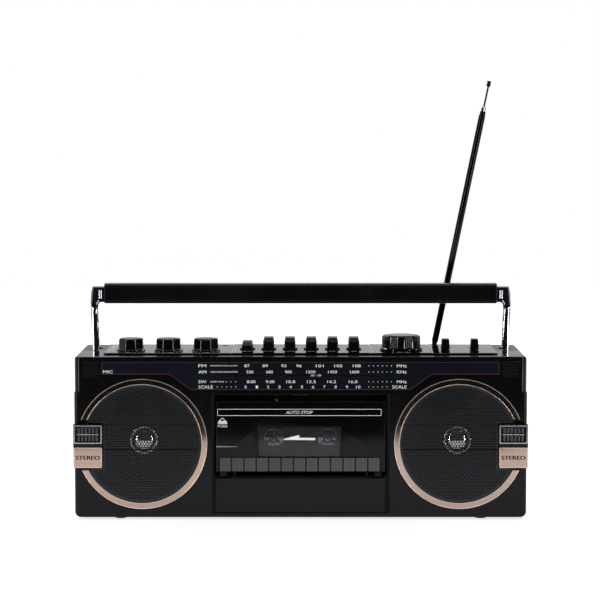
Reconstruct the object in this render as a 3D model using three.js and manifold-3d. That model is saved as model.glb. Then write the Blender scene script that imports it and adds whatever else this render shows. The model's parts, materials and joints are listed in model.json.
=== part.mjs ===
// Portable stereo radio-cassette recorder with two woofers, a front-loading deck and a folding aerial.
// Millimetres, +X right, +Y back, +Z up. The origin is the middle of the footprint, on the plane of the feet.
import * as THREE from "three";
import { mergeVertices } from "three/addons/utils/BufferGeometryUtils.js";
import Module from "manifold-3d";

const wasm = await Module();
wasm.setup();

// ---------- driving dimensions ----------
const gap = 0.3; // clearance left wherever two pieces meet
const wall = 2.5;

const caseWidth = 354.8;
const caseDepth = 92;
const caseHeight = 126.8;
const footHeight = 2;
const blockProud = 4; // how far the side blocks stand in front of the case
const blockWrap = 0.4; // how far they stand past its sides
const blockReach = 22.4; // how far they reach in from its sides
const shoulderHeight = 99.2; // from the case's underside to the step in its sides
const shoulderStep = 0.4;
const edgeBevel = 0.7; // on the edges round the front and the back
const upperRounding = 5; // of the upright edges, above and below the shoulder
const lowerRounding = 3;
const topCorner = 2.6; // of the corners seen from the front
const bottomCorner = 5;

const frontY = blockProud / 2 - caseDepth / 2;
const backY = frontY + caseDepth;
const bottomZ = footHeight;
const topZ = bottomZ + caseHeight;
const shoulderZ = bottomZ + shoulderHeight;
const halfWidth = caseWidth / 2;
const upperHalf = halfWidth - shoulderStep;
const innerHalf = upperHalf - wall;
const frontInside = frontY + wall;
const backInside = backY - wall;
const floorInside = bottomZ + wall;
const ceilingInside = topZ - wall;
const seamY = frontY + 44; // where the front and rear shells meet

const blockBottom = bottomZ + 39.4;
const blockTop = bottomZ + 74.1;
const badgeHeight = 16.8;

const speakerInset = 53.1; // from the side of the case to a speaker's centre
const speakerX = halfWidth - speakerInset;
const speakerZ = bottomZ + 58.1;
const ringRadius = 51.3;
const ringBand = 4.7;
const ringProud = 1.4;
const ringSeat = 1.2; // how deep the ring and the grille sit in the front wall
const ringCutAbove = 19.2; // the ring is cut level this far above and below the speaker's centre
const ringCutBelow = 20.7;
const grilleRadius = ringRadius - ringBand - gap;
const grilleThickness = 1;
const basketRadius = ringRadius - 3.8;
const coneRadius = ringRadius - 10.8;
const speakerOpening = grilleRadius - 3.8;
const dustCapRadius = 11.3;
const dustCapHeight = 7.5;
const coneDepth = 22;

const dialTop = topZ - 3.8;
const dialArmHeight = 10.4;
const dialHeight = 22.4;
const dialRibs = { count: 6, pitch: 2.2, inset: 2.5, endInset: 6.5 };
const dialHalf = 155.5;
const dialKneeOuter = 102.5;
const dialKneeInner = 86;
const dialThickness = 1.7;
const dialProud = 0.4;
const pointerRest = 12;
const pointerZ = topZ - 14.8;

const bayHalf = 67.7;
const bayTop = topZ - 29.9;
const doorHalf = 66.5;
const doorBottom = bottomZ + 35.8;
const doorTop = bottomZ + 91.6;
const doorThickness = 2.8;
const windowHalf = 32.4;
const windowX = -0.9;
const windowBottom = doorBottom + 11.9;
const windowTop = windowBottom + 23.7;
const trimPanelBottom = bottomZ + 3.9;
const trimPanelTop = bottomZ + 31.1;
const trimPanelDepth = 1.6;
const sideChannelWidth = 3.1; // the sunk strip each side of the cassette door and the trim panel

const tapeWidth = 100.4; // the standard compact cassette
const tapeHeight = 63.8;
const tapeThickness = 12.2;
const hubSpacing = 42.5;
const hubToMouth = 34.7; // from the hubs' centres to the edge with the tape in it
const hubZ = bottomZ + 60.3;
const slotFront = frontY + doorThickness + gap;
const slotBack = slotFront + tapeThickness + 0.8;
const deckFront = slotBack + 3;
const deckThickness = 2;
const doorHingeY = frontY + 3.4;
const doorHingeZ = doorBottom - 3;

const panelHalf = 155.6;
const panelFront = frontY + 15;
const panelBack = frontY + 82;
const panelThickness = 1;
const grooveX = [-54.9, -53, 55.5, 103.5];
const microphone = { x: -61.2, y: frontY + 72, radius: 2.6 };
const panelBottom = topZ + gap;
const panelTop = panelBottom + panelThickness;
const hatchInset = 6; // from the panel's edge to the opening in the case under it

const keyPitch = 17;
const keyWidth = 8.8;
const keyTopWidth = 7.4;
const keyFront = frontY + 34;
const keyDepth = 19;
const keyFaceHeight = 7.1;
const keyHeight = 9.8;
const keyStem = 11;
const keyPlay = 1.5;
const pauseDrop = 3; // the pause key is latched down by this much
const knobX = [-134.7, -105, -75.2];
const knobY = frontY + 32;
const knobRadius = 9.2;
const knobSkirt = 10.35;
const knobHeight = 10;
const tuningX = 80.4;
const tuningY = frontY + 41.5;
const tuningRadius = 15.4;
const tuningSkirt = 17.2;
const tuningHeight = 11.9;
const shaftRadius = 3;
const switchX = [115.8, 138.9];
const switchY = frontY + 42;
const switchWidth = 7;
const switchDepth = 8;
const switchHeight = 8.7;
const switchTravel = [0, 10];

const gripHalf = 157.9;
const gripHeight = 16.1;
const gripDepth = 13;
const gripBottom = topZ + 37.2;
const handleY = frontY + 59;
const handlePivotZ = topZ - 2;
const armBaseX = 165;
const armWidth = 5.2;
const armDepth = 9;
const armSplay = 1.7; // how far the arm's outer and inner sides move out by the bend
const armInnerSplay = 1;
const armTopZ = gripBottom + 13.5;
const armPocket = { width: 8.6, length: 20, depth: 9 };
const pinRadius = 1.5;

const aerialX = 108.9;
const aerialY = backY - 4.5;
const aerialZ = topZ - 4;
const aerialLean = THREE.MathUtils.degToRad(11.5);
const grooveFront = backY - 9.5;
const grooveDepth = 10;
const grooveLeft = -119;
const grooveRight = aerialX + 13;
const tubeRadius = 2.7;
const tubeBore = 2.2;
const tubeLength = 199.3;
const sectionRadius = 1.9;
const sectionBore = 1.4;
const sectionOut = 4;
const rodRadius = 0.75;
const rodOut = 18.5;
const rodCapRadius = 1.8;
const rodCapLength = 7;

const batteryHalf = 125;
const batteryDepth = 35.2;
const batteryHeight = 38.5;
const batteryFloor = bottomZ + 6;
const batteryDoorThickness = 2;
const batteryRebate = 2;
const inlet = { x: -152, z: bottomZ + 30, width: 18, height: 9, depth: 8 };
const footX = 142;
const footY = 33;
const footRadius = 5;
const screwWells = [
  [-162, bottomZ + 10],
  [162, bottomZ + 10],
  [-146, topZ - 20],
  [146, topZ - 20],
];
const screwWellRadius = 3.2;

const capstanX = -19;
const capstanZ = hubZ + hubToMouth - 3.2;
const flywheelRadius = 16;
const flywheelThickness = 6;
const flywheelY = deckFront + deckThickness + 2;
const motorX = 35;
const motorZ = hubZ + 14;
const motorRadius = 14;
const motorLength = 20;
const pulleyRadius = 4;
const beltWidth = 3;
const beltThickness = 1;

// ---------- solids ----------
function solidOf(geometry) {
  const bare = geometry.index ? geometry.toNonIndexed() : geometry.clone();
  bare.deleteAttribute("normal");
  bare.deleteAttribute("uv");
  const merged = mergeVertices(bare, 1e-4);
  const index = merged.index.array;
  const kept = [];
  for (let i = 0; i < index.length; i += 3) {
    const [a, b, c] = [index[i], index[i + 1], index[i + 2]];
    if (a !== b && b !== c && a !== c) kept.push(a, b, c);
  }
  const vertProperties = merged.attributes.position.array;
  return new wasm.Manifold(new wasm.Mesh({ numProp: 3, vertProperties, triVerts: new Uint32Array(kept) }));
}

function geometryOf(solid) {
  const { numProp, numVert, vertProperties, triVerts } = solid.getMesh();
  const position = new Float32Array(numVert * 3);
  for (let i = 0; i < numVert; i++) {
    position.set(vertProperties.subarray(i * numProp, i * numProp + 3), i * 3);
  }
  const geometry = new THREE.BufferGeometry();
  geometry.setAttribute("position", new THREE.BufferAttribute(position, 3));
  geometry.setIndex(new THREE.BufferAttribute(triVerts, 1));
  geometry.computeVertexNormals();
  return geometry;
}

const joined = (...solids) => solids.reduce((whole, solid) => whole.add(solid));
const cut = (solid, ...tools) => tools.reduce((left, tool) => left.subtract(tool), solid);

function box(x0, x1, y0, y1, z0, z1) {
  const geometry = new THREE.BoxGeometry(x1 - x0, y1 - y0, z1 - z0);
  return solidOf(geometry.translate((x0 + x1) / 2, (y0 + y1) / 2, (z0 + z1) / 2));
}

// The two ends of a stretch on one side of the middle, in rising order.
function sideSpan(side, near, far) {
  return [side * near, side * far].sort((a, b) => a - b);
}

// A rod along Y or Z, from one end to the other.
function rodY(x, z, radius, y0, y1, sides = 32, frontRadius = radius) {
  const geometry = new THREE.CylinderGeometry(radius, frontRadius, y1 - y0, sides);
  return solidOf(geometry.translate(x, (y0 + y1) / 2, z));
}

function rodZ(x, y, radius, z0, z1, sides = 32, topRadius = radius) {
  const geometry = new THREE.CylinderGeometry(topRadius, radius, z1 - z0, sides).rotateX(Math.PI / 2);
  return solidOf(geometry.translate(x, y, (z0 + z1) / 2));
}

function rodX(y, z, radius, x0, x1, sides = 16) {
  const geometry = new THREE.CylinderGeometry(radius, radius, x1 - x0, sides).rotateZ(Math.PI / 2);
  return solidOf(geometry.translate((x0 + x1) / 2, y, z));
}

function outline(points) {
  return new THREE.Shape(points.map(([x, y]) => new THREE.Vector2(x, y)));
}

function roundedOutline(x0, x1, z0, z1, bottomRadius, topRadius = bottomRadius) {
  const shape = new THREE.Shape();
  const [b, t] = [bottomRadius, topRadius];
  shape.moveTo(x0 + b, z0);
  shape.lineTo(x1 - b, z0);
  if (b) shape.absarc(x1 - b, z0 + b, b, -Math.PI / 2, 0);
  shape.lineTo(x1, z1 - t);
  if (t) shape.absarc(x1 - t, z1 - t, t, 0, Math.PI / 2);
  shape.lineTo(x0 + t, z1);
  if (t) shape.absarc(x0 + t, z1 - t, t, Math.PI / 2, Math.PI);
  shape.lineTo(x0, z0 + b);
  if (b) shape.absarc(x0 + b, z0 + b, b, Math.PI, 1.5 * Math.PI);
  return shape;
}

// A shape extruded along its own Z from 0 to depth, with its end edges rounded by bevel.
function slab(shape, depth, bevel, segments, curveSegments) {
  const corners = shape.extractPoints(curveSegments).shape;
  const distinct = corners.filter((point, i) => point.distanceTo(corners.at(i - 1)) > 1e-4);
  const geometry = new THREE.ExtrudeGeometry(new THREE.Shape(distinct), {
    depth: depth - 2 * bevel,
    bevelEnabled: bevel > 0,
    bevelThickness: bevel,
    bevelSize: bevel,
    bevelOffset: -bevel,
    bevelSegments: segments,
  });
  return geometry.translate(0, 0, bevel);
}

// A shape drawn in X and Z, extruded from y0 back to y1.
function slabY(shape, y0, y1, bevel = 0, segments = 2, curveSegments = 3) {
  const geometry = slab(shape, y1 - y0, bevel, segments, curveSegments);
  return solidOf(geometry.rotateX(Math.PI / 2).translate(0, y1, 0));
}

// A shape drawn in X and Y, extruded from z0 up to z1.
function slabZ(shape, z0, z1, bevel = 0, segments = 1, curveSegments = 3) {
  return solidOf(slab(shape, z1 - z0, bevel, segments, curveSegments).translate(0, 0, z0));
}

// A shape drawn in Y and Z, extruded from x0 to x1.
function slabX(points, x0, x1) {
  const geometry = new THREE.ExtrudeGeometry(outline(points), { depth: x1 - x0, bevelEnabled: false });
  geometry.applyMatrix4(new THREE.Matrix4().set(0, 0, 1, x0, 1, 0, 0, 0, 0, 1, 0, 0, 0, 0, 0, 1));
  return solidOf(geometry);
}

// A profile of [radius, distance along the axis], turned about Y or Z through (x, z) or (x, y).
function turned(profile, sides) {
  const points = profile.map(([r, h]) => new THREE.Vector2(r, h));
  if (THREE.ShapeUtils.area(points) < 0) points.reverse();
  return new THREE.LatheGeometry(points, sides);
}

function turnedY(profile, x, z, sides = 48) {
  return solidOf(turned(profile, sides).translate(x, 0, z));
}

function turnedZ(profile, x, y, sides = 32) {
  return solidOf(turned(profile, sides).rotateX(Math.PI / 2).translate(x, y, 0));
}

// ---------- the finished group ----------
const recorder = new THREE.Group();

const finishes = {
  blackGloss: { color: 0x0c0c0e, roughness: 0.25 },
  blackSatin: { color: 0x131315, roughness: 0.45 },
  blackRubber: { color: 0x101010, roughness: 0.9 },
  copper: { color: 0xb08a76, roughness: 0.35, metalness: 1 },
  chrome: { color: 0xd8dade, roughness: 0.08, metalness: 1 },
  blackMetal: { color: 0x0a0a0b, roughness: 0.35, metalness: 0.6 },
  dialBlack: { color: 0x0a0d14, roughness: 0.08 },
  paperCone: { color: 0x2a2a2c, roughness: 0.9 },
  steel: { color: 0x9a9ca0, roughness: 0.35, metalness: 1 },
  brass: { color: 0xb59a5a, roughness: 0.3, metalness: 1 },
  boardGreen: { color: 0x1e5a34, roughness: 0.6 },
  pointerWhite: { color: 0xe8e4e0, roughness: 0.5 },
  smokedClear: { color: 0x303236, roughness: 0.05, transparent: true, opacity: 0.5 },
};

function addPart(name, solid, finish) {
  const mesh = new THREE.Mesh(geometryOf(solid), new THREE.MeshStandardMaterial(finishes[finish]));
  mesh.name = name;
  recorder.add(mesh);
}

const sides = [
  ["left", -1],
  ["right", 1],
];

// ---------- case ----------
function dialOutline(inset) {
  const top = dialTop - inset;
  const arm = dialTop - dialArmHeight + inset;
  const low = dialTop - dialHeight + inset;
  const end = dialHalf - inset;
  const slope = (dialHeight - dialArmHeight) / (dialKneeOuter - dialKneeInner);
  const kneeShift = inset * (Math.hypot(1, slope) - 1) / slope;
  const outer = dialKneeOuter - kneeShift;
  const inner = dialKneeInner - kneeShift;
  return outline([
    [-end, arm], [-outer, arm], [-inner, low], [inner, low],
    [outer, arm], [end, arm], [end, top], [-end, top],
  ]);
}

// One storey of the case: its front outline, with its upright edges rounded.
function caseStorey(half, top, topRadius, rounding) {
  const seenFromFront = roundedOutline(-half, half, bottomZ, top, bottomCorner, topRadius);
  const seenFromAbove = roundedOutline(-half, half, frontY, backY, rounding);
  return slabY(seenFromFront, frontY, backY, edgeBevel)
    .intersect(slabZ(seenFromAbove, 0, topZ + 1, 0, 1, 6));
}

function caseShell() {
  const lower = caseStorey(halfWidth, shoulderZ, edgeBevel + 0.3, lowerRounding);
  const upper = caseStorey(upperHalf, topZ, topCorner, upperRounding);
  return cut(joined(lower, upper), box(-innerHalf, innerHalf, frontInside, backInside, floorInside,
    ceilingInside));
}

const panelHatch = box(
  -panelHalf + hatchInset, panelHalf - hatchInset,
  panelFront + hatchInset, panelBack - hatchInset, ceilingInside - 1, topZ + 1,
);

// The ring's seat stops short of the case's side, which the side block covers.
function caseSideLimit(side) {
  const edges = [side * (halfWidth - 3.2), 0].sort((a, b) => a - b);
  return box(...edges, frontY - 2, frontY + 10, bottomZ, topZ);
}

function addFrontShell(shell) {
  let front = shell.intersect(box(-halfWidth - 1, halfWidth + 1, frontY - 1, seamY, 0, topZ + 1));
  front = cut(front, panelHatch);
  for (const [, side] of sides) {
    const x = side * speakerX;
    const seat = rodY(x, speakerZ, ringRadius + gap, frontY - 1, frontY + ringSeat, 64);
    const opening = rodY(x, speakerZ, speakerOpening, frontY - 1, frontInside + 1, 40);
    front = cut(front, seat.intersect(caseSideLimit(side)), opening);
    // Fine grooves beside each end of the dial.
    const ribX = sideSpan(side, dialHalf + dialRibs.inset, upperHalf - dialRibs.endInset);
    for (let i = 0; i < dialRibs.count; i++) {
      const z = dialTop - 0.6 - i * dialRibs.pitch;
      front = cut(front, box(...ribX, frontY - 1, frontY + 0.4, z - 0.6, z));
    }
  }
  const windowSeat = slabY(dialOutline(-gap), frontY - 1, frontY + dialThickness - dialProud + gap);
  const scaleOpening = box(-dialKneeInner + 3, dialKneeInner - 3, frontY, frontInside + 1,
    dialTop - dialHeight + 3, dialTop - 3);
  const bay = box(-bayHalf, bayHalf, frontY - 1, frontInside + 1, trimPanelTop + 1, bayTop);
  const trimSeat = box(-doorHalf - 0.5, doorHalf + 0.5, frontY - 1, frontY + trimPanelDepth,
    trimPanelBottom - 0.5, trimPanelTop + 2);
  const channels = [-1, 1].map((side) => {
    const x = sideSpan(side, doorHalf - 1, doorHalf + sideChannelWidth);
    return box(...x, frontY - 1, frontY + trimPanelDepth, trimPanelBottom - 0.5, bayTop);
  });
  const lugSlots = [-1, 1].map((side) => {
    const x = sideSpan(side, doorHalf - 10, doorHalf - 2);
    return box(...x, frontY + trimPanelDepth - 1, frontInside + 1, trimPanelTop - 2, trimPanelTop + 2);
  });
  addPart("front_shell", cut(front, windowSeat, scaleOpening, bay, trimSeat, ...channels, ...lugSlots),
    "blackSatin");
}

function addRearShell(shell) {
  let rear = shell.intersect(box(-halfWidth - 1, halfWidth + 1, seamY + gap, backY + 1, 0, topZ + 1));
  rear = cut(rear, panelHatch);
  const inBack = backY - 1;

  // The aerial's groove along the rear top edge.
  const grooveWalls = box(grooveLeft - wall, grooveRight + wall, grooveFront - wall, inBack,
    topZ - grooveDepth - wall, topZ - 0.5);
  const groove = box(grooveLeft, grooveRight, grooveFront, backY + 1, topZ - grooveDepth, topZ + 1);
  rear = cut(rear.add(grooveWalls), groove);

  // The battery box, open to the back.
  const doorLow = batteryFloor - batteryRebate;
  const doorHigh = batteryFloor + batteryHeight + batteryRebate;
  const boxFront = backY - batteryDoorThickness - batteryDepth;
  const batteryWalls = box(-batteryHalf - 2 * wall, batteryHalf + 2 * wall, boxFront - wall, inBack,
    floorInside - 1, doorHigh + wall);
  const batteryRoom = box(-batteryHalf, batteryHalf, boxFront, backY + 1, batteryFloor,
    batteryFloor + batteryHeight);
  const doorSeat = box(-batteryHalf - batteryRebate, batteryHalf + batteryRebate,
    backY - batteryDoorThickness - gap, backY + 1, doorLow, doorHigh);
  rear = cut(rear.add(batteryWalls), batteryRoom, doorSeat);

  // The mains inlet's socket.
  const { x, z, width, height, depth } = inlet;
  const socket = roundedOutline(x - width / 2, x + width / 2, z - height / 2, z + height / 2,
    height / 2 - 0.01);
  const socketWalls = box(x - width / 2 - wall, x + width / 2 + wall, backY - depth - wall, inBack,
    z - height / 2 - wall, z + height / 2 + wall);
  rear = cut(rear.add(socketWalls), slabY(socket, backY - depth, backY + 1));

  for (const [wellX, wellZ] of screwWells) {
    const post = rodY(wellX, wellZ, screwWellRadius + wall, seamY + 4, inBack, 12);
    rear = cut(rear.add(post), rodY(wellX, wellZ, screwWellRadius, backY - 20, backY + 1, 12));
  }

  // Pockets in the top for the feet of the handle's arms, with a hole for each pivot pin.
  for (const [, side] of sides) {
    const pocketX = side * armBaseX;
    const halfPocket = armPocket.width / 2;
    const walls = box(pocketX - halfPocket - wall, pocketX + halfPocket + wall,
      handleY - armPocket.length / 2 - wall, handleY + armPocket.length / 2 + wall,
      topZ - armPocket.depth - wall, topZ - 0.5);
    const room = box(pocketX - halfPocket, pocketX + halfPocket,
      handleY - armPocket.length / 2, handleY + armPocket.length / 2, topZ - armPocket.depth, topZ + 1);
    const pinHole = rodX(handleY, handlePivotZ, pinRadius + gap,
      pocketX - halfPocket - wall + 0.8, pocketX + halfPocket + wall - 0.8, 12);
    rear = cut(rear.add(walls), room, pinHole);
  }

  // Cooling slots in two groups on the back.
  for (const [, side] of sides) {
    for (let i = 0; i < 7; i++) {
      const slotZ = doorHigh + 14 + i * 5;
      const slotX = sideSpan(side, 62, 104);
      rear = cut(rear, box(...slotX, backInside - 1, backY + 1, slotZ, slotZ + 2));
    }
  }
  addPart("rear_shell", rear, "blackSatin");

  const doorShape = roundedOutline(-batteryHalf - batteryRebate + gap, batteryHalf + batteryRebate - gap,
    doorLow + gap, doorHigh - gap, 1.5);
  let batteryDoor = slabY(doorShape, backY - batteryDoorThickness, backY);
  for (let i = 0; i < 5; i++) {
    const ribZ = doorHigh - 5 - i * 2;
    batteryDoor = cut(batteryDoor, box(-14, 14, backY - 0.6, backY + 1, ribZ - 0.9, ribZ));
  }
  addPart("battery_door", batteryDoor, "blackSatin");
}

function addControlPanel() {
  const shape = roundedOutline(-panelHalf, panelHalf, panelFront, panelBack, 1.2);
  let panel = slabZ(shape, panelBottom, panelTop, 0.3);
  for (let i = 0; i < 6; i++) {
    const x = (i - 2.5) * keyPitch;
    const half = keyWidth / 2 + keyPlay;
    const slotFrontY = keyFront - keyPlay;
    panel = cut(panel, box(x - half, x + half, slotFrontY, slotFrontY + keyDepth + 2 * keyPlay, topZ,
      panelTop + 1));
  }
  for (const x of knobX) panel = cut(panel, rodZ(x, knobY, shaftRadius + gap, topZ, panelTop + 1, 20));
  panel = cut(panel, rodZ(tuningX, tuningY, shaftRadius + gap, topZ, panelTop + 1, 20));
  for (const x of switchX) {
    const half = switchWidth / 2 - 2 + gap + 0.4;
    const y0 = switchY - switchDepth / 2 + 2 - 1;
    const y1 = switchY + switchDepth / 2 - 2 + switchTravel[1] + 1;
    panel = cut(panel, box(x - half, x + half, y0, y1, topZ, panelTop + 1));
  }
  // Fine grooves that part the panel into its groups of controls.
  for (const x of grooveX) {
    panel = cut(panel, box(x - 0.35, x + 0.35, panelFront - 1, panelBack + 1, panelTop - 0.3, panelTop + 1));
  }
  // A small microphone well behind the third knob.
  panel = cut(panel, rodZ(microphone.x, microphone.y, microphone.radius, panelTop - 0.6, panelTop + 1, 20));
  addPart("control_panel", panel, "blackGloss");
}

function addDial() {
  addPart("dial_window", slabY(dialOutline(0), frontY - dialProud, frontY - dialProud + dialThickness),
    "dialBlack");
  const low = dialTop - dialHeight + 1;
  addPart("dial_backplate",
    box(-dialKneeInner, dialKneeInner, frontInside + 2.6, frontInside + 3.8, low, dialTop), "blackSatin");
  addPart("dial_pointer",
    box(pointerRest - 4, pointerRest + 4, frontInside + 0.4, frontInside + 1.6, pointerZ - 0.7,
      pointerZ + 0.7),
    "pointerWhite");
}

function addTrimPanel() {
  const shape = roundedOutline(-doorHalf, doorHalf, trimPanelBottom, trimPanelTop, 0.8);
  addPart("lower_trim_panel", slabY(shape, frontY - 0.3, frontY + trimPanelDepth - gap, 0.4, 1),
    "blackSatin");
}

function addFeet() {
  for (const [name, side] of sides) {
    for (const [end, y] of [["front", -footY], ["rear", footY]]) {
      const foot = rodZ(side * footX, y, footRadius, 0, bottomZ - gap, 24);
      addPart(`rubber_foot_${end}_${name}`, foot, "blackRubber");
    }
  }
}

// ---------- speakers ----------
function addSpeakers() {
  const seatY = frontY + ringSeat - gap;
  const ringInner = ringRadius - ringBand;
  for (const [name, side] of sides) {
    const x = side * speakerX;
    const ring = turnedY([
      [ringInner, seatY], [ringRadius, seatY], [ringRadius, frontY - ringProud + 0.5],
      [ringRadius - 0.5, frontY - ringProud], [ringInner + 0.5, frontY - ringProud],
      [ringInner, frontY - ringProud + 0.5], [ringInner, seatY],
    ], x, speakerZ, 64);
    const outer = sideSpan(side, speakerX + 30, halfWidth + 5);
    const notch = box(...outer, frontY - 5, frontY + 5, speakerZ - ringCutBelow, speakerZ + ringCutAbove);
    addPart(`trim_ring_${name}`, cut(ring, notch), "copper");

    const block = blockBounds(side);
    const keepOut = box(block.x[0] - gap, block.x[1] + gap, frontY - 5, frontY + 5, block.z[0] - gap,
      block.z[1] + gap);
    const grille = rodY(x, speakerZ, grilleRadius, seatY - grilleThickness, seatY, 64);
    addPart(`speaker_grille_${name}`, cut(grille, keepOut), "blackMetal");

    const flangeY = frontInside + gap;
    addPart(`woofer_basket_${name}`, turnedY([
      [0, flangeY + 47.2], [29, flangeY + 47.2], [29, flangeY + 33.2], [27.5, flangeY + 33.2],
      [27.5, flangeY + 29.2], [coneRadius + 3, flangeY + 1.8], [basketRadius, flangeY + 1.8],
      [basketRadius, flangeY], [coneRadius + 1.7, flangeY], [16, flangeY + 28.2], [0, flangeY + 28.2],
    ], x, speakerZ, 32), "steel");

    const capInner = dustCapRadius - 2.3;
    const slope = coneDepth / (coneRadius - dustCapRadius);
    const innerY = flangeY + 1.2 + (coneRadius - capInner) * slope;
    addPart(`woofer_cone_${name}`, turnedY([
      [coneRadius, flangeY + 1.2], [capInner, innerY], [capInner, innerY - 1], [coneRadius, flangeY + 0.2],
      [coneRadius, flangeY + 1.2],
    ], x, speakerZ, 32), "paperCone");

    const capBack = flangeY + 0.2 + coneDepth - gap - 0.1;
    const dome = [[0, capBack], [dustCapRadius, capBack]];
    for (let i = 0; i <= 4; i++) {
      const turn = (i / 4) * (Math.PI / 2);
      dome.push([dustCapRadius * Math.cos(turn), capBack - 0.6 - dustCapHeight * Math.sin(turn)]);
    }
    dome[dome.length - 1][0] = 0;
    addPart(`dust_cap_${name}`, turnedY(dome, x, speakerZ, 24), "chrome");
  }
}

// The block on each side of the front, which holds the small upper grille and the badge plate.
function blockBounds(side) {
  const outerX = side * (halfWidth + blockWrap);
  const innerX = side * (halfWidth - blockReach);
  return { x: [outerX, innerX].sort((a, b) => a - b), z: [blockBottom, blockTop] };
}

function addSideBlocks() {
  for (const [name, side] of sides) {
    const { x, z } = blockBounds(side);
    const badgeTop = z[0] + badgeHeight;
    const shape = roundedOutline(x[0], x[1], z[0], z[1], 0.8);
    const frontPart = slabY(shape, frontY - blockProud, frontY - gap, 0.6, 1);
    // A thin cheek laps the side of the case.
    const cheekX = sideSpan(side, halfWidth - lowerRounding + 0.6, halfWidth + blockWrap);
    const cheekRoom = slabZ(roundedOutline(-halfWidth - 0.1, halfWidth + 0.1, frontY - 0.1, backY,
      lowerRounding),
      z[0] - 1, z[1] + 1, 0, 1, 6);
    const cheek = box(...cheekX, frontY - 1, frontY + 3, z[0] + 1, z[1] - 1).subtract(cheekRoom);
    const badgeSeat = box(x[0] - 1, x[1] + 1, frontY - blockProud - 1, frontY - blockProud + 1.5,
      z[0] - 1, badgeTop);
    const faceSeat = box(x[0] + 2.2, x[1] - 2.2, frontY - blockProud - 1, frontY - blockProud + 2,
      badgeTop + 3.8, z[1] - 2.5);
    addPart(`tweeter_block_${name}`, cut(joined(frontPart, cheek), badgeSeat, faceSeat), "blackGloss");
    const badge = roundedOutline(x[0] + gap, x[1] - gap, z[0] + gap, badgeTop - gap, 0.5);
    addPart(`badge_plate_${name}`, slabY(badge, frontY - blockProud, frontY - blockProud + 1.5 - gap),
      "copper");
  }
}

// ---------- handle ----------
function addHandle() {
  const gripSection = roundedOutline(handleY - gripDepth / 2, handleY + gripDepth / 2,
    gripBottom, gripBottom + gripHeight, 2.5);
  const grip = new THREE.ExtrudeGeometry(gripSection, { depth: 2 * gripHalf, bevelEnabled: false,
    curveSegments: 4 });
  grip.applyMatrix4(new THREE.Matrix4().set(0, 0, 1, -gripHalf, 1, 0, 0, 0, 0, 1, 0, 0, 0, 0, 0, 1));
  addPart("handle_grip", solidOf(grip), "blackSatin");

  for (const [name, side] of sides) {
    const half = armWidth / 2;
    const bendZ = gripBottom - 5;
    const innerX = armBaseX - half;
    const outerX = armBaseX + half;
    const arm = new THREE.Shape();
    arm.moveTo(innerX, handlePivotZ);
    arm.absarc(armBaseX, handlePivotZ, half, Math.PI, 2 * Math.PI);
    arm.lineTo(outerX + armSplay, bendZ);
    arm.quadraticCurveTo(outerX + armSplay, armTopZ - 4, outerX, armTopZ);
    arm.lineTo(gripHalf + gap, armTopZ);
    arm.lineTo(gripHalf + gap, gripBottom + 1);
    arm.lineTo(innerX - 1.5, gripBottom + 1);
    arm.quadraticCurveTo(innerX + armInnerSplay, gripBottom + 1, innerX + armInnerSplay, bendZ);
    const plain = slabY(arm, handleY - armDepth / 2, handleY + armDepth / 2, 0.8, 2, 4);
    const recess = box(gripHalf + 2, innerX + 1, handleY - armDepth / 2 - 1, handleY - armDepth / 2 + 2,
      gripBottom + 3.5, armTopZ - 2.5);
    // The foot of the arm is an eye, round about the pin.
    const block = box(innerX - 1, outerX + 1, handleY - armDepth, handleY + armDepth,
      handlePivotZ - armDepth, handlePivotZ);
    const eye = rodX(handleY, handlePivotZ, armDepth / 2, innerX, outerX, 20);
    const pinHole = rodX(handleY, handlePivotZ, pinRadius + gap, innerX - 2, outerX + 2, 12);
    let solid = cut(plain, recess, block).add(eye).subtract(pinHole);
    if (side < 0) solid = solid.mirror([1, 0, 0]);
    addPart(`handle_arm_${name}`, solid, "chrome");
    const pinHalf = armPocket.width / 2 + wall - 1.2;
    const pinX = side * armBaseX;
    addPart(`handle_pin_${name}`, rodX(handleY, handlePivotZ, pinRadius, pinX - pinHalf,
      pinX + pinHalf, 12), "steel");
  }
}

// ---------- telescopic aerial ----------
// Aerial pieces are drawn upright about the pivot and then leaned over with the mast.
function leaned(solid) {
  const degrees = THREE.MathUtils.radToDeg(aerialLean);
  return solid.rotate([0, degrees, 0]).translate([aerialX, aerialY, aerialZ]);
}

function tubeProfile(radius, bore, from, to) {
  return [[bore, from], [radius, from], [radius, to - 0.6], [radius - 0.3, to], [bore, to], [bore, from]];
}

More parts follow.
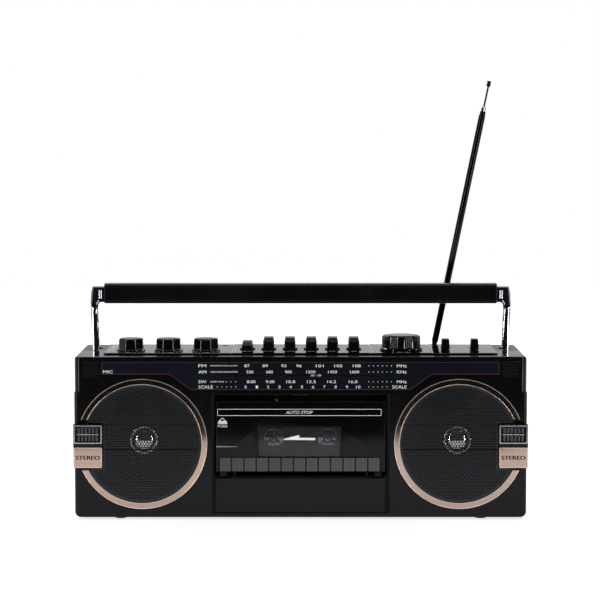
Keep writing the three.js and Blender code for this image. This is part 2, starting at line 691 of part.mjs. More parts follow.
function addAerial() {
  const cheekGap = 1.3;
  const cheek = 1.5;
  const base = rodZ(aerialX, aerialY, 3.9, topZ - grooveDepth + gap, aerialZ - 3.2, 24);
  const cheeks = [-1, 1].map((side) => {
    const y = sideSpan(side, cheekGap, cheekGap + cheek);
    return box(aerialX - 2.4, aerialX + 2.4, aerialY + y[0], aerialY + y[1], aerialZ - 3.5, aerialZ + 2.2);
  });
  const rivet = rodY(aerialX, aerialZ, 0.9, aerialY - cheekGap - cheek - 0.3,
    aerialY + cheekGap + cheek + 0.3, 10);
  addPart("aerial_swivel", joined(base, ...cheeks, rivet), "chrome");

  const tongue = box(-2, 2, -1, 1, -1.9, 12);
  const eye = rodY(0, 0, 0.9 + gap, -2, 2, 10);
  const plug = rodZ(0, 0, tubeBore + 0.2, 8, 12, 16);
  const tube = turnedZ(tubeProfile(tubeRadius, tubeBore, 7, tubeLength), 0, 0, 16);
  addPart("aerial_tube", leaned(joined(cut(tongue, eye), plug, tube)), "blackMetal");
  const section = turnedZ(
    tubeProfile(sectionRadius, sectionBore, 22, tubeLength + sectionOut), 0, 0, 16);
  addPart("aerial_section", leaned(section), "chrome");
  const rodTop = tubeLength + rodOut;
  const rod = rodZ(0, 0, rodRadius, 34, rodTop + 1, 12);
  const cap = turnedZ([
    [0, rodTop], [1, rodTop], [rodCapRadius, rodTop + 0.8], [rodCapRadius, rodTop + rodCapLength - 0.6],
    [rodCapRadius - 0.6, rodTop + rodCapLength], [0, rodTop + rodCapLength],
  ], 0, 0, 16);
  addPart("aerial_rod", leaned(rod.add(cap)), "chrome");
}

// ---------- controls on the top ----------
function keySolid(x, drop) {
  const low = panelTop - keyStem - drop;
  const face = panelTop + keyFaceHeight - drop;
  const top = panelTop + keyHeight - drop;
  const back = keyFront + keyDepth;
  const side = slabX([
    [keyFront, low], [back, low], [back, top - 1.5], [back - 1, top],
    [keyFront + 5.5, top], [keyFront, face],
  ], x - keyWidth / 2, x + keyWidth / 2);
  const shoulder = (keyWidth - keyTopWidth) / 2;
  const front = slabY(outline([
    [x - keyWidth / 2, low - 1], [x + keyWidth / 2, low - 1], [x + keyWidth / 2, face],
    [x + keyWidth / 2 - shoulder, top + 0.01], [x - keyWidth / 2 + shoulder, top + 0.01],
      [x - keyWidth / 2, face],
  ]), keyFront - 1, back + 1);
  return side.intersect(front);
}

function knobSolid(x, y, radius, skirt, height, flutes) {
  const z = panelTop + gap;
  const body = turnedZ([
    [0, z], [skirt, z], [skirt, z + 0.8], [radius, z + 1.6], [radius - 0.5, z + height - 1],
    [radius - 1.6, z + height], [0, z + height],
  ], x, y, 32);
  const shaft = rodZ(x, y, shaftRadius, panelTop - 10, z + 1, 16);
  let solid = body;
  for (let i = 0; i < flutes; i++) {
    const turn = ((i + 0.5) / flutes) * 2 * Math.PI;
    const reach = radius + 0.9;
    const flute = rodZ(x + reach * Math.cos(turn), y + reach * Math.sin(turn), 1.4, z + 1.6,
      z + height + 1, 6);
    solid = solid.subtract(flute);
  }
  return solid.add(shaft);
}

function addControls() {
  const keys = ["pause_key", "stop_eject_key", "fast_forward_key", "rewind_key", "play_key", "record_key"];
  keys.forEach((name, i) => {
    addPart(name, keySolid((i - 2.5) * keyPitch, i === 0 ? pauseDrop : 0), "blackSatin");
  });
  ["volume_knob", "balance_knob", "tone_knob"].forEach((name, i) => {
    addPart(name, knobSolid(knobX[i], knobY, knobRadius, knobSkirt, knobHeight, 8), "blackGloss");
  });
  addPart("tuning_knob",
    knobSolid(tuningX, tuningY, tuningRadius, tuningSkirt, tuningHeight, 0), "blackGloss");
  ["function_switch", "band_switch"].forEach((name, i) => {
    const x = switchX[i];
    const [half, depth] = [switchWidth / 2, switchDepth / 2];
    const cap = slabY(outline([
      [x - half, panelTop + gap], [x + half, panelTop + gap], [x + half - 0.6, panelTop + switchHeight],
      [x - half + 0.6, panelTop + switchHeight],
    ]), switchY - depth, switchY + depth);
    const stem = box(x - half + 2, x + half - 2, switchY - depth + 2, switchY + depth - 2,
      panelTop - 8, panelTop + 1);
    addPart(name, cap.add(stem), "blackSatin");
  });
}

// ---------- cassette door and deck ----------
function addDoor() {
  const shape = roundedOutline(-doorHalf, doorHalf, doorBottom, doorTop, 1.2);
  const plate = slabY(shape, frontY, frontY + doorThickness, 0.6, 1);
  const pane = box(windowX - windowHalf, windowX + windowHalf, frontY - 1, frontY + doorThickness + 1,
    windowBottom, windowTop);
  const barSeat = box(-doorHalf + 2.6, doorHalf - 2.6, frontY - 1, frontY + 0.8, doorBottom + 0.6,
    windowBottom - 0.4);
  // Hinge lugs below the plate, behind the trim panel's top edge.
  const lugs = [-1, 1].map((side) => {
    const x = sideSpan(side, doorHalf - 9, doorHalf - 3);
    return joined(
      rodX(doorHingeY, doorHingeZ, 2, ...x, 16),
      box(...x, doorHingeY - 2, doorHingeY + 1.5, doorHingeZ, doorBottom + 3),
    );
  });
  addPart("cassette_door", cut(joined(plate, ...lugs), pane, barSeat), "blackGloss");
  addPart("door_window", box(windowX - windowHalf + gap, windowX + windowHalf - gap, frontY + 0.4, frontY + 2,
    windowBottom + gap, windowTop - gap), "smokedClear");

  // An open carrier on the door's back: a floor, two cheeks and two rear lips.
  const half = tapeWidth / 2 + 0.8;
  const low = hubZ + hubToMouth - tapeHeight - 0.9;
  const high = low + 46;
  const y0 = slotFront;
  const floor = box(-half - 2, half + 2, y0, slotBack + 1.5, low - 2, low);
  const cheeks = [-1, 1].map((side) => {
    const x = sideSpan(side, half, half + 2);
    const lip = sideSpan(side, half - 6, half + 2);
    return joined(
      box(...x, y0, slotBack + 1.5, low - 2, high),
      box(...lip, slotBack, slotBack + 1.5, low - 2, high),
    );
  });
  addPart("cassette_holder", joined(floor, ...cheeks), "blackSatin");
}

function spindleSolid(x) {
  const base = turnedY([
    [0, deckFront - gap], [8, deckFront - gap], [8, deckFront - gap - 1.4], [4.2, deckFront - gap - 2],
    [3.1, deckFront - gap - 2], [3.1, slotBack - 7.5], [1.2, slotBack - 9], [0, slotBack - 9],
  ], x, hubZ, 24);
  let solid = base;
  for (let i = 0; i < 3; i++) {
    const fin = box(-0.5, 0.5, slotBack - 6.5, deckFront - gap - 1, 2, 4.4);
    solid = solid.add(fin.rotate([0, i * 120, 0]).translate([x, 0, hubZ]));
  }
  return solid;
}

function beltOutline(offset) {
  const across = new THREE.Vector2(motorX - capstanX, motorZ - capstanZ);
  const bearing = Math.atan2(across.y, across.x);
  const spread = Math.acos((flywheelRadius - pulleyRadius) / across.length());
  const shape = new THREE.Shape();
  shape.absarc(capstanX, capstanZ, flywheelRadius + offset, bearing + spread, bearing - spread + 2 * Math.PI);
  shape.absarc(motorX, motorZ, pulleyRadius + offset, bearing - spread, bearing + spread);
  return shape;
}

function addDeck() {
  const plateHalf = 62;
  const plate = box(-plateHalf, plateHalf, deckFront, deckFront + deckThickness, doorBottom + 4, topZ - 16);
  const capstanHole = rodY(capstanX, capstanZ, 1.2 + gap, deckFront - 1, deckFront + deckThickness + 1, 12);
  addPart("deck_plate", cut(plate, capstanHole), "steel");

  addPart("supply_spindle", spindleSolid(hubSpacing / 2), "steel");
  addPart("takeup_spindle", spindleSolid(-hubSpacing / 2), "steel");

  const wheel = rodY(capstanX, capstanZ, flywheelRadius, flywheelY, flywheelY + flywheelThickness, 36);
  const capstan = rodY(capstanX, capstanZ, 1.2, slotBack - 9, flywheelY + 1, 12);
  addPart("capstan_flywheel", wheel.add(capstan), "brass");

  const pulley = rodY(motorX, motorZ, pulleyRadius, flywheelY, flywheelY + 5, 20);
  addPart("motor_pulley", pulley, "brass");
  addPart("drive_motor",
    rodY(motorX, motorZ, motorRadius, flywheelY + 5 + gap, flywheelY + 5 + gap + motorLength, 32), "steel");

  const belt = slabY(beltOutline(gap + beltThickness), flywheelY + 1.2, flywheelY + 1.2 + beltWidth, 0,
    1, 10);
  const inside = slabY(beltOutline(gap), flywheelY, flywheelY + 6, 0, 1, 10);
  addPart("drive_belt", belt.subtract(inside), "blackRubber");

  // The head bridge rides above the tape's mouth and comes down to play.
  const mouth = hubZ + hubToMouth;
  const rollerZ = mouth + 4.6;
  const bridge = box(-30, 30, slotFront + 4.5, deckFront - 1, mouth + 5, mouth + 12);
  const head = box(-6.5, 6.5, slotFront + 4.5, slotBack - 1.5, mouth + 0.8, mouth + 6);
  const rollerRoom = box(capstanX - 7, capstanX + 7, slotFront + 4, slotBack - 1, mouth - 1, mouth + 10.6);
  const rollerPin = rodY(capstanX, rollerZ, 1, slotFront + 5.5, deckFront - 3.2, 12);
  const stirrup = box(capstanX - 1.6, capstanX + 1.6, deckFront - 4.2, deckFront - 1, rollerZ - 1.6,
    mouth + 8);
  addPart("head_bridge", joined(cut(joined(bridge, head), rollerRoom), rollerPin, stirrup), "steel");
  const roller = turnedY([
    [1 + gap, slotBack - 1.8], [5, slotBack - 1.8], [5, slotFront + 6.2], [1 + gap, slotFront + 6.2],
    [1 + gap, slotBack - 1.8],
  ], capstanX, rollerZ, 24);
  addPart("pinch_roller", roller, "blackRubber");

  addPart("circuit_board", box(-108, 108, backY - 20, backY - 18.4, bottomZ + 54, topZ - 14), "boardGreen");
}

const shell = caseShell();
addFrontShell(shell);
addRearShell(shell);
addControlPanel();
addDial();
addTrimPanel();
addFeet();
addSpeakers();
addSideBlocks();
addHandle();
addAerial();
addControls();
addDoor();
addDeck();

export default recorder;
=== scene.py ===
"""Looks for a portable stereo radio-cassette recorder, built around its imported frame. Metres, +Z up."""
import json
import math

import bmesh
import bpy
from mathutils import Matrix, Vector

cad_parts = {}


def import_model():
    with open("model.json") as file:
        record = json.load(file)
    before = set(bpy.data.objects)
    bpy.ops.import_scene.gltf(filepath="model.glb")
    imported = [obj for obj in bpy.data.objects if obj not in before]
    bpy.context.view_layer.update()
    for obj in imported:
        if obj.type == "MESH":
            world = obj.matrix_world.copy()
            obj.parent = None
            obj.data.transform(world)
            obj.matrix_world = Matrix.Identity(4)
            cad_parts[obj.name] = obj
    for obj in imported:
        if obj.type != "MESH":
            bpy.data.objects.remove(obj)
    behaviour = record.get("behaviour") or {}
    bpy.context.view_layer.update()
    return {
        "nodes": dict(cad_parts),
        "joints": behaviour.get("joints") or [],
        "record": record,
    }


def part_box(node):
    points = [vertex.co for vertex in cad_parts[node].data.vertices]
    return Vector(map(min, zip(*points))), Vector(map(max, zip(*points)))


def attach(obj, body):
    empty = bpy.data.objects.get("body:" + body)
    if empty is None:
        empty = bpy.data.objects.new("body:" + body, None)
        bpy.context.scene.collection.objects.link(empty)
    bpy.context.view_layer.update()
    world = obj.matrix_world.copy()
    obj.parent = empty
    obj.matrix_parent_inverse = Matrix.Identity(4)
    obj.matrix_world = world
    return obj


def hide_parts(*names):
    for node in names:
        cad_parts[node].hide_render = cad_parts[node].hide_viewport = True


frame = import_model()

MM = 0.001
HAIR = 0.02 * MM  # half the thickness of printed lettering
PRINT_LIFT = 0.03 * MM  # how far print stands off the surface under it
SMOOTH_ANGLE = 48  # degrees: edges sharper than this stay sharp in the shading
TURNED_SMOOTH_ANGLE = 40
WELD = 1e-7  # points nearer than this are one point

BODIES = frame["record"]["behaviour"]["bodies"]
BODY_OF = {node: body for body, nodes in BODIES.items() for node in nodes}
SIDES = (("left", -1), ("right", 1))


# ---------- materials ----------
GRAIN_SCALE, GRAIN_DEPTH = 1400, 0.04 * MM
RIPPLE_SCALE, RIPPLE_STRENGTH, RIPPLE_DEPTH = 38, 0.12, 0.3 * MM
PATCH_SCALE, DRIFT_SCALE = 24, 11
BRUSH_SCALE, BRUSH_DEPTH, METAL_PATCH_SCALE = 900, 0.04 * MM, 40
SHEET_WAVE_SCALE, SHEET_WAVE_STRENGTH, SHEET_WAVE_DEPTH, SHEET_PATCH_SCALE = 30, 0.05, 0.2 * MM, 18
INK_SCALE, INK_STRENGTH, INK_DEPTH = 700, 0.2, 0.03 * MM


class Nodes:
    """A material's node tree, with short calls for the nodes used here."""

    def __init__(self, name):
        self.material = bpy.data.materials.new(name)
        self.material.use_nodes = True
        self.tree = self.material.node_tree
        self.shader = self.tree.nodes["Principled BSDF"]
        self.place = self.add("ShaderNodeTexCoord").outputs["Object"]

    def add(self, kind):
        return self.tree.nodes.new(kind)

    def link(self, start, end):
        self.tree.links.new(start, end)

    def stretched(self, scale):
        mapping = self.add("ShaderNodeMapping")
        mapping.inputs["Scale"].default_value = scale
        self.link(self.place, mapping.inputs["Vector"])
        return mapping.outputs["Vector"]

    def noise(self, scale, detail=3, vector=None):
        node = self.add("ShaderNodeTexNoise")
        node.inputs["Scale"].default_value = scale
        node.inputs["Detail"].default_value = detail
        self.link(vector or self.place, node.inputs["Vector"])
        return node.outputs["Fac"]

    def ranged(self, value, low, high, start=0.35, end=0.65):
        node = self.add("ShaderNodeMapRange")
        node.inputs["From Min"].default_value = start
        node.inputs["From Max"].default_value = end
        node.inputs["To Min"].default_value = low
        node.inputs["To Max"].default_value = high
        self.link(value, node.inputs["Value"])
        return node.outputs["Result"]

    def bump(self, height, strength, distance, under=None):
        node = self.add("ShaderNodeBump")
        node.inputs["Strength"].default_value = strength
        node.inputs["Distance"].default_value = distance
        self.link(height, node.inputs["Height"])
        if under:
            self.link(under, node.inputs["Normal"])
        return node.outputs["Normal"]

    def blended(self, value, dark, light):
        node = self.add("ShaderNodeValToRGB")
        node.color_ramp.elements[0].position = 0.3
        node.color_ramp.elements[1].position = 0.7
        node.color_ramp.elements[0].color = (*dark, 1)
        node.color_ramp.elements[1].color = (*light, 1)
        self.link(value, node.inputs["Fac"])
        return node.outputs["Color"]

    def finish(self, normal=None, color=None, roughness=None, **values):
        for key, value in values.items():
            self.shader.inputs[key.replace("_", " ")].default_value = value
        for socket, source in (("Normal", normal), ("Base Color", color), ("Roughness", roughness)):
            if source is not None:
                self.link(source, self.shader.inputs[socket])
        return self.material


def scaled(color, factor):
    return tuple(min(1.0, part * factor) for part in color)


def plastic(name, color, roughness, grain=0.25, spread=0.05, specular=0.5):
    """Moulded plastic: a fine grain, patches that are more or less polished, and faint colour drift."""
    n = Nodes(name)
    rippled = n.bump(n.noise(RIPPLE_SCALE, 2), RIPPLE_STRENGTH, RIPPLE_DEPTH)
    return n.finish(
        normal=n.bump(n.noise(GRAIN_SCALE, 2), grain, GRAIN_DEPTH, rippled),
        color=n.blended(n.noise(DRIFT_SCALE), scaled(color, 0.85), scaled(color, 1.2)),
        roughness=n.ranged(n.noise(PATCH_SCALE, 4), roughness - spread, roughness + spread),
        Specular_IOR_Level=specular,
    )


def metal(name, color, roughness, grain_scale=(1, 1, 1), scratch=0.1, spread=0.04, drift=0.1):
    """Metal whose brush marks run along the axis with the smallest scale."""
    n = Nodes(name)
    marks = n.noise(BRUSH_SCALE, 3, n.stretched(grain_scale))
    return n.finish(
        normal=n.bump(marks, scratch, BRUSH_DEPTH),
        color=n.blended(marks, scaled(color, 1 - drift), scaled(color, 1 + drift)),
        roughness=n.ranged(n.noise(METAL_PATCH_SCALE), roughness - spread, roughness + spread),
        Metallic=1.0,
    )


def clear(name, color, alpha, roughness):
    """Thin clear or smoked plastic sheet, seen through by its alpha."""
    n = Nodes(name)
    return n.finish(
        normal=n.bump(n.noise(SHEET_WAVE_SCALE, 2), SHEET_WAVE_STRENGTH, SHEET_WAVE_DEPTH),
        roughness=n.ranged(n.noise(SHEET_PATCH_SCALE), roughness, roughness + 0.05),
        Base_Color=(*color, 1),
        Alpha=alpha,
    )


def ink(name, color, roughness=0.45):
    """Screen print: slightly uneven in its cover."""
    n = Nodes(name)
    cover = n.noise(INK_SCALE, 2)
    return n.finish(
        color=n.blended(cover, scaled(color, 0.88), color),
        normal=n.bump(cover, INK_STRENGTH, INK_DEPTH),
        Roughness=roughness,
    )


M = {
    "case": plastic("case_plastic", (0.0026, 0.0026, 0.003), 0.15, grain=0.1, spread=0.03, specular=0.17),
    "rear": plastic("rear_plastic", (0.008, 0.008, 0.0085), 0.34, grain=0.5, specular=0.4),
    "gloss": plastic("gloss_plastic", (0.002, 0.002, 0.0026), 0.09, grain=0.03, spread=0.03, specular=0.17),
    "panel": plastic("panel_plastic", (0.004, 0.004, 0.004), 0.07, grain=0.03, spread=0.02, specular=0.3),
    "control": plastic("control_plastic", (0.003, 0.003, 0.0033), 0.22, grain=0.15, specular=0.3),
    "grip": plastic("grip_plastic", (0.003, 0.003, 0.0033), 0.25, grain=0.2, specular=0.2),
    "knob": plastic("knob_plastic", (0.002, 0.002, 0.0024), 0.1, grain=0.03, spread=0.03, specular=0.5),
    "tweeter": plastic("tweeter_plastic", (0.02, 0.025, 0.038), 0.2, grain=0.1, specular=0.6),
    # dull black plastic for the parts inside; also the painted shade in the front shell's recess and along
    # the grille creases
    "dark": plastic("inner_and_painted_shade_plastic", (0.002, 0.002, 0.0022), 0.5, grain=0.3, specular=0.15),
    "dial": plastic("dial_plastic", (0.006, 0.0068, 0.011), 0.08, grain=0.02, spread=0.02, specular=0.25),
    "finger_bar": plastic("finger_bar_plastic", (0.075, 0.075, 0.078), 0.42, grain=0.3, specular=0.4),
    "copper": metal("brushed_copper", (0.4, 0.295, 0.235), 0.09, (0.03, 1, 1), 0.05, 0.02, 0.05),
    "copper_edge": metal("polished_copper", (0.85, 0.78, 0.73), 0.3, (1, 1, 1), 0.03, 0.02, 0.03),
    "bronze_edge": metal("polished_bronze", (0.5, 0.43, 0.41), 0.18, (1, 1, 1), 0.03, 0.02, 0.03),
    "grille": metal("grille_paint", (0.045, 0.046, 0.05), 0.38, (1, 1, 1), 0.25, 0.06, 0.15),
    "chrome": metal("bright_chrome", (0.5, 0.51, 0.58), 0.06, (1, 1, 1), 0.03, 0.02, 0.03),
    "cap_chrome": metal("cap_chrome", (0.85, 0.86, 0.88), 0.06, (1, 1, 1), 0.03, 0.02, 0.03),
    "black_chrome": metal("black_chrome", (0.015, 0.015, 0.017), 0.13, (1, 1, 0.05), 0.05, 0.03, 0.1),
    "steel": metal("plated_steel", (0.3, 0.3, 0.32), 0.34, (0.05, 1, 1), 0.2, 0.06, 0.1),
    "brass": metal("turned_brass", (0.5, 0.38, 0.18), 0.25, (1, 1, 1), 0.12, 0.05, 0.1),
    "cone": plastic("cone_paper", (0.006, 0.006, 0.0065), 0.7, grain=0.9, spread=0.08, specular=0.2),
    "surround": plastic("cone_surround", (0.004, 0.004, 0.004), 0.5, grain=0.3, specular=0.2),
    "rubber": plastic("foot_rubber", (0.008, 0.008, 0.008), 0.75, grain=0.8, spread=0.06, specular=0.2),
    "board": plastic("board_laminate", (0.012, 0.07, 0.03), 0.45, grain=0.4),
    "white": ink("white_print", (0.8, 0.8, 0.8)),
    "grey": ink("grey_print", (0.2, 0.2, 0.21)),
    "faint": ink("faint_print", (0.05, 0.05, 0.053)),
    "red": ink("red_print", (0.09, 0.009, 0.014), 0.3),
    "pointer": plastic("pointer_plastic", (0.8, 0.78, 0.76), 0.4, grain=0.2),
    "pointer_red": plastic("pointer_red", (0.6, 0.02, 0.03), 0.4, grain=0.2),
    "smoked": clear("smoked_sheet", (0.03, 0.03, 0.032), 0.42, 0.05),
    "pane": clear("clear_sheet", (0.02, 0.022, 0.03), 0.15, 0.03),
}


# ---------- pieces ----------
def show(obj):
    bpy.context.scene.collection.objects.link(obj)


def piece(name, bm, body, materials, replaces=(), smooth_angle=SMOOTH_ANGLE):
    """Turns a bmesh into a finished piece that rides on a body."""
    bmesh.ops.recalc_face_normals(bm, faces=bm.faces)
    mesh = bpy.data.meshes.new(name)
    bm.to_mesh(mesh)
    bm.free()
    mesh.polygons.foreach_set("use_smooth", [True] * len(mesh.polygons))
    mesh.set_sharp_from_angle(angle=math.radians(smooth_angle))
    for key in materials:
        mesh.materials.append(M[key])
    obj = bpy.data.objects.new(name, mesh)
    show(obj)
    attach(obj, body)
    if replaces:
        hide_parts(*replaces)
    return obj


def rounded_edges(obj, width, segments=2, angle=50):
    """Rounds the edges whose faces meet at more than the angle, in degrees."""
    bevel = obj.modifiers.new("edges", "BEVEL")
    bevel.width = width
    bevel.segments = segments
    bevel.limit_method = "ANGLE"
    bevel.angle_limit = math.radians(angle)
    bevel.use_clamp_overlap = False
    bevel.harden_normals = True
    bevel.miter_outer = "MITER_ARC"
    shade = obj.modifiers.new("shade", "WEIGHTED_NORMAL")
    shade.keep_sharp = True


def refined(node, material, width=0.3 * MM, segments=2, smooth_angle=SMOOTH_ANGLE):
    """The CAD node's own shape as a piece, with its flat faces joined up and its hard edges rounded."""
    bm = bmesh.new()
    bm.from_mesh(frame["nodes"][node].data)
    bmesh.ops.remove_doubles(bm, verts=bm.verts, dist=1e-6)
    bmesh.ops.dissolve_limit(bm, angle_limit=math.radians(0.5), verts=bm.verts, edges=bm.edges)
    bmesh.ops.triangulate(bm, faces=[face for face in bm.faces if len(face.verts) > 4])
    obj = piece(node + "_skin", bm, BODY_OF[node], [material], [node], smooth_angle)
    if width:
        rounded_edges(obj, width, segments, smooth_angle + 2)
    return obj


def darken(obj, to_darken):
    """Gives the faces whose centre passes the test the dull black, unreflecting plastic; on the front shell
    this is painted shade.
    """
    obj.data.materials.append(M["dark"])
    for face in obj.data.polygons:
        if to_darken(face.center):
            face.material_index = len(obj.data.materials) - 1


def add_box(bm, low, high, material=0):
    corners = [[(low, high)[i >> k & 1][k] for k in range(3)] for i in range(8)]
    verts = [bm.verts.new(corner) for corner in corners]
    for loop in ((0, 1, 3, 2), (4, 6, 7, 5), (0, 4, 5, 1), (2, 3, 7, 6), (0, 2, 6, 4), (1, 5, 7, 3)):
        bm.faces.new([verts[i] for i in loop]).material_index = material


def add_prism(bm, outline, low, high, place):
    """A closed outline of (a, b) points, extruded from low to high. place(a, b, c) gives the 3-D point."""
    rings = [[bm.verts.new(place(a, b, c)) for a, b in outline] for c in (low, high)]
    count = len(outline)
    for ring in rings:
        bm.faces.new(ring)
    for i in range(count):
        j = (i + 1) % count
        bm.faces.new((rings[0][i], rings[0][j], rings[1][j], rings[1][i]))


def add_layers(bm, layers):
    """Skins closed rings of vertices that stand one above the other, and closes both ends."""
    count = len(layers[0])
    for first, second in zip(layers, layers[1:]):
        for i in range(count):
            j = (i + 1) % count
            bm.faces.new((first[i], first[j], second[j], second[i]))
    bm.faces.new(layers[-1])
    bm.faces.new(list(reversed(layers[0])))


def on_front(y):
    """Places a flat outline of (x, z) on the plane y, its depth c measured towards the listener."""
    return lambda a, b, c: (a, y - c, b)


def on_top(z):
    """Places a flat outline of (x, y) on the plane z, its height c measured upwards."""
    return lambda a, b, c: (a, b, z + c)


def from_mm(points, a=0.0, b=0.0):
    """Points given in millimetres from (a, b), in metres."""
    return [(a + x * MM, b + y * MM) for x, y in points]


def add_turned(bm, profile, centre, axis, steps=96, materials=None, span=(0, 2 * math.pi)):
    """Turns a closed profile of (radius, distance along the axis) about Y or Z through the centre.

    materials gives the material number of each stretch of the profile."""
    whole = span[1] - span[0] > 2 * math.pi - 1e-6
    count = steps if whole else steps + 1
    rings = []
    for radius, along in profile:
        if radius < 1e-7:
            rings.append([bm.verts.new(turned_point(centre, axis, 0, along, 0))] * count)
            continue
        turns = [span[0] + (span[1] - span[0]) * i / steps for i in range(count)]
        rings.append([bm.verts.new(turned_point(centre, axis, radius, along, turn)) for turn in turns])
    for k, (first, second) in enumerate(zip(rings, rings[1:])):
        for i in range(steps):
            j = (i + 1) % count
            loop = list(dict.fromkeys((first[i], first[j], second[j], second[i])))
            if len(loop) > 2:
                bm.faces.new(loop).material_index = materials[k] if materials else 0
    if not whole:
        for end in (0, count - 1):
            loop = list(dict.fromkeys(ring[end] for ring in rings))
            bm.faces.new(loop)


def turned_point(centre, axis, radius, along, turn):
    a, b = radius * math.cos(turn), radius * math.sin(turn)
    x, y, z = centre
    return (x + a, y + along, z + b) if axis == "Y" else (x + a, y + b, z + along)


def turned_piece(name, profile, centre, axis, body, materials, replaces=(), bands=None, steps=96):
    bm = bmesh.new()
    add_turned(bm, profile, centre, axis, steps, bands)
    bmesh.ops.remove_doubles(bm, verts=bm.verts, dist=WELD)
    piece(name, bm, body, materials, replaces, TURNED_SMOOTH_ANGLE)


def flat_letters(text, slant):
    """A mesh of the words in the built-in font, flat and one unit high or so."""
    curve = bpy.data.curves.new("lettering", "FONT")
    curve.body = text
    curve.size = 1.0
    curve.shear = slant
    curve.resolution_u = 3
    holder = bpy.data.objects.new("lettering", curve)
    show(holder)
    bpy.context.view_layer.update()
    flat = bpy.data.meshes.new_from_object(holder.evaluated_get(bpy.context.evaluated_depsgraph_get()))
    bpy.data.objects.remove(holder)
    bpy.data.curves.remove(curve)
    return flat


def add_text(bm, text, x, other, height, place, width=None, align="LEFT", slant=0.0):
    """Raised lettering of that height, at (x, other) on the plane that place gives."""
    flat = flat_letters(text, slant)
    left = min(v.co.x for v in flat.vertices)
    right = max(v.co.x for v in flat.vertices)
    low = min(v.co.y for v in flat.vertices)
    high = max(v.co.y for v in flat.vertices)
    rise = height / (high - low)
    stretch = width / (right - left) if width else rise
    shift = {"LEFT": left, "CENTER": (left + right) / 2, "RIGHT": right}[align]
    letters = bmesh.new()
    letters.from_mesh(flat)
    bpy.data.meshes.remove(flat)
    solid = bmesh.ops.extrude_face_region(letters, geom=letters.faces[:])
    raised = {element for element in solid["geom"] if isinstance(element, bmesh.types.BMVert)}
    for vert in letters.verts:
        a = x + (vert.co.x - shift) * stretch
        b = other + (vert.co.y - (low + high) / 2) * rise
        vert.co = place(a, b, PRINT_LIFT + (HAIR if vert in raised else -HAIR))
    scratch = bpy.data.meshes.new("letters")
    letters.to_mesh(scratch)
    letters.free()
    bm.from_mesh(scratch)
    bpy.data.meshes.remove(scratch)


def add_printed(bm, outline, place):
    add_prism(bm, outline, PRINT_LIFT - HAIR, PRINT_LIFT + HAIR, place)


def add_dot(bm, a, b, radius, place):
    add_printed(bm, arc((a, b), radius, 0, 360, 8)[:-1], place)


def add_line(bm, points, width, place, closed=False):
    """A printed line of even width along (a, b) points, each stretch a thin bar."""
    ends = list(zip(points, points[1:] + points[:1] if closed else points[1:]))
    for (a0, b0), (a1, b1) in ends:
        length = math.hypot(a1 - a0, b1 - b0)
        ua, ub = (a1 - a0) / length * width / 2, (b1 - b0) / length * width / 2
        outline = [
            (a0 - ua - ub, b0 - ub + ua), (a1 + ua - ub, b1 + ub + ua),
            (a1 + ua + ub, b1 + ub - ua), (a0 - ua + ub, b0 - ub - ua),
        ]
        add_printed(bm, outline, place)


def arc(centre, radius, start, end, steps=24):
    """Points round a centre from one angle to another, in degrees."""
    turns = [math.radians(start + (end - start) * i / steps) for i in range(steps + 1)]
    return [(centre[0] + radius * math.cos(t), centre[1] + radius * math.sin(t)) for t in turns]


def middle(node):
    low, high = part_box(node)
    return (low + high) / 2


def half_width(node):
    low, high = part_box(node)
    return (high.x - low.x) / 2


# ---------- speakers ----------
HOLE_PITCH = 2.15 * MM
HOLE_RADIUS = 0.8 * MM
CELL_CORNERS = 12
GRILLE_RIM = 0.8 * MM
GRILLE_CLEARANCE = 0.35 * MM  # between the grille and the side block
GRILLE_LIP = 0.02 * MM  # how far the solid edges stand proud of the holes
STRIP_WIDTH = 1.6 * MM
STRIP_HEIGHT = 1.4 * MM
SHEET = 0.5 * MM
RING_BAND = 4.7 * MM
RING_CUT_ABOVE = 19.2 * MM
RING_CUT_BELOW = 20.7 * MM


def round_node(node, side):
    """Radius and front centre of a round node that the side block may cut short on its outer side."""
    low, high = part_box(node)
    radius = (high.z - low.z) / 2
    inner_x = low.x if side > 0 else high.x
    return radius, Vector((side * (abs(inner_x) + radius), low.y, (low.z + high.z) / 2))


def cell_outline(distance):
    """Points round a cell's centre; distance(k) says how far out each one is."""
    turns = [2 * math.pi * k / CELL_CORNERS for k in range(CELL_CORNERS)]
    return [(distance(k) * math.cos(turn), distance(k) * math.sin(turn)) for k, turn in enumerate(turns)]


def hole_centres(reach):
    """Places of the holes, in close-packed rows, within that reach of the middle."""
    row_step = HOLE_PITCH * math.sqrt(3) / 2
    rows = int(reach / row_step) + 1
    for row in range(-rows, rows + 1):
        offset = HOLE_PITCH / 2 if row % 2 else 0
        for column in range(-rows - 2, rows + 3):
            x, z = column * HOLE_PITCH + offset, row * row_step
            if math.hypot(x, z) <= reach:
                yield x, z


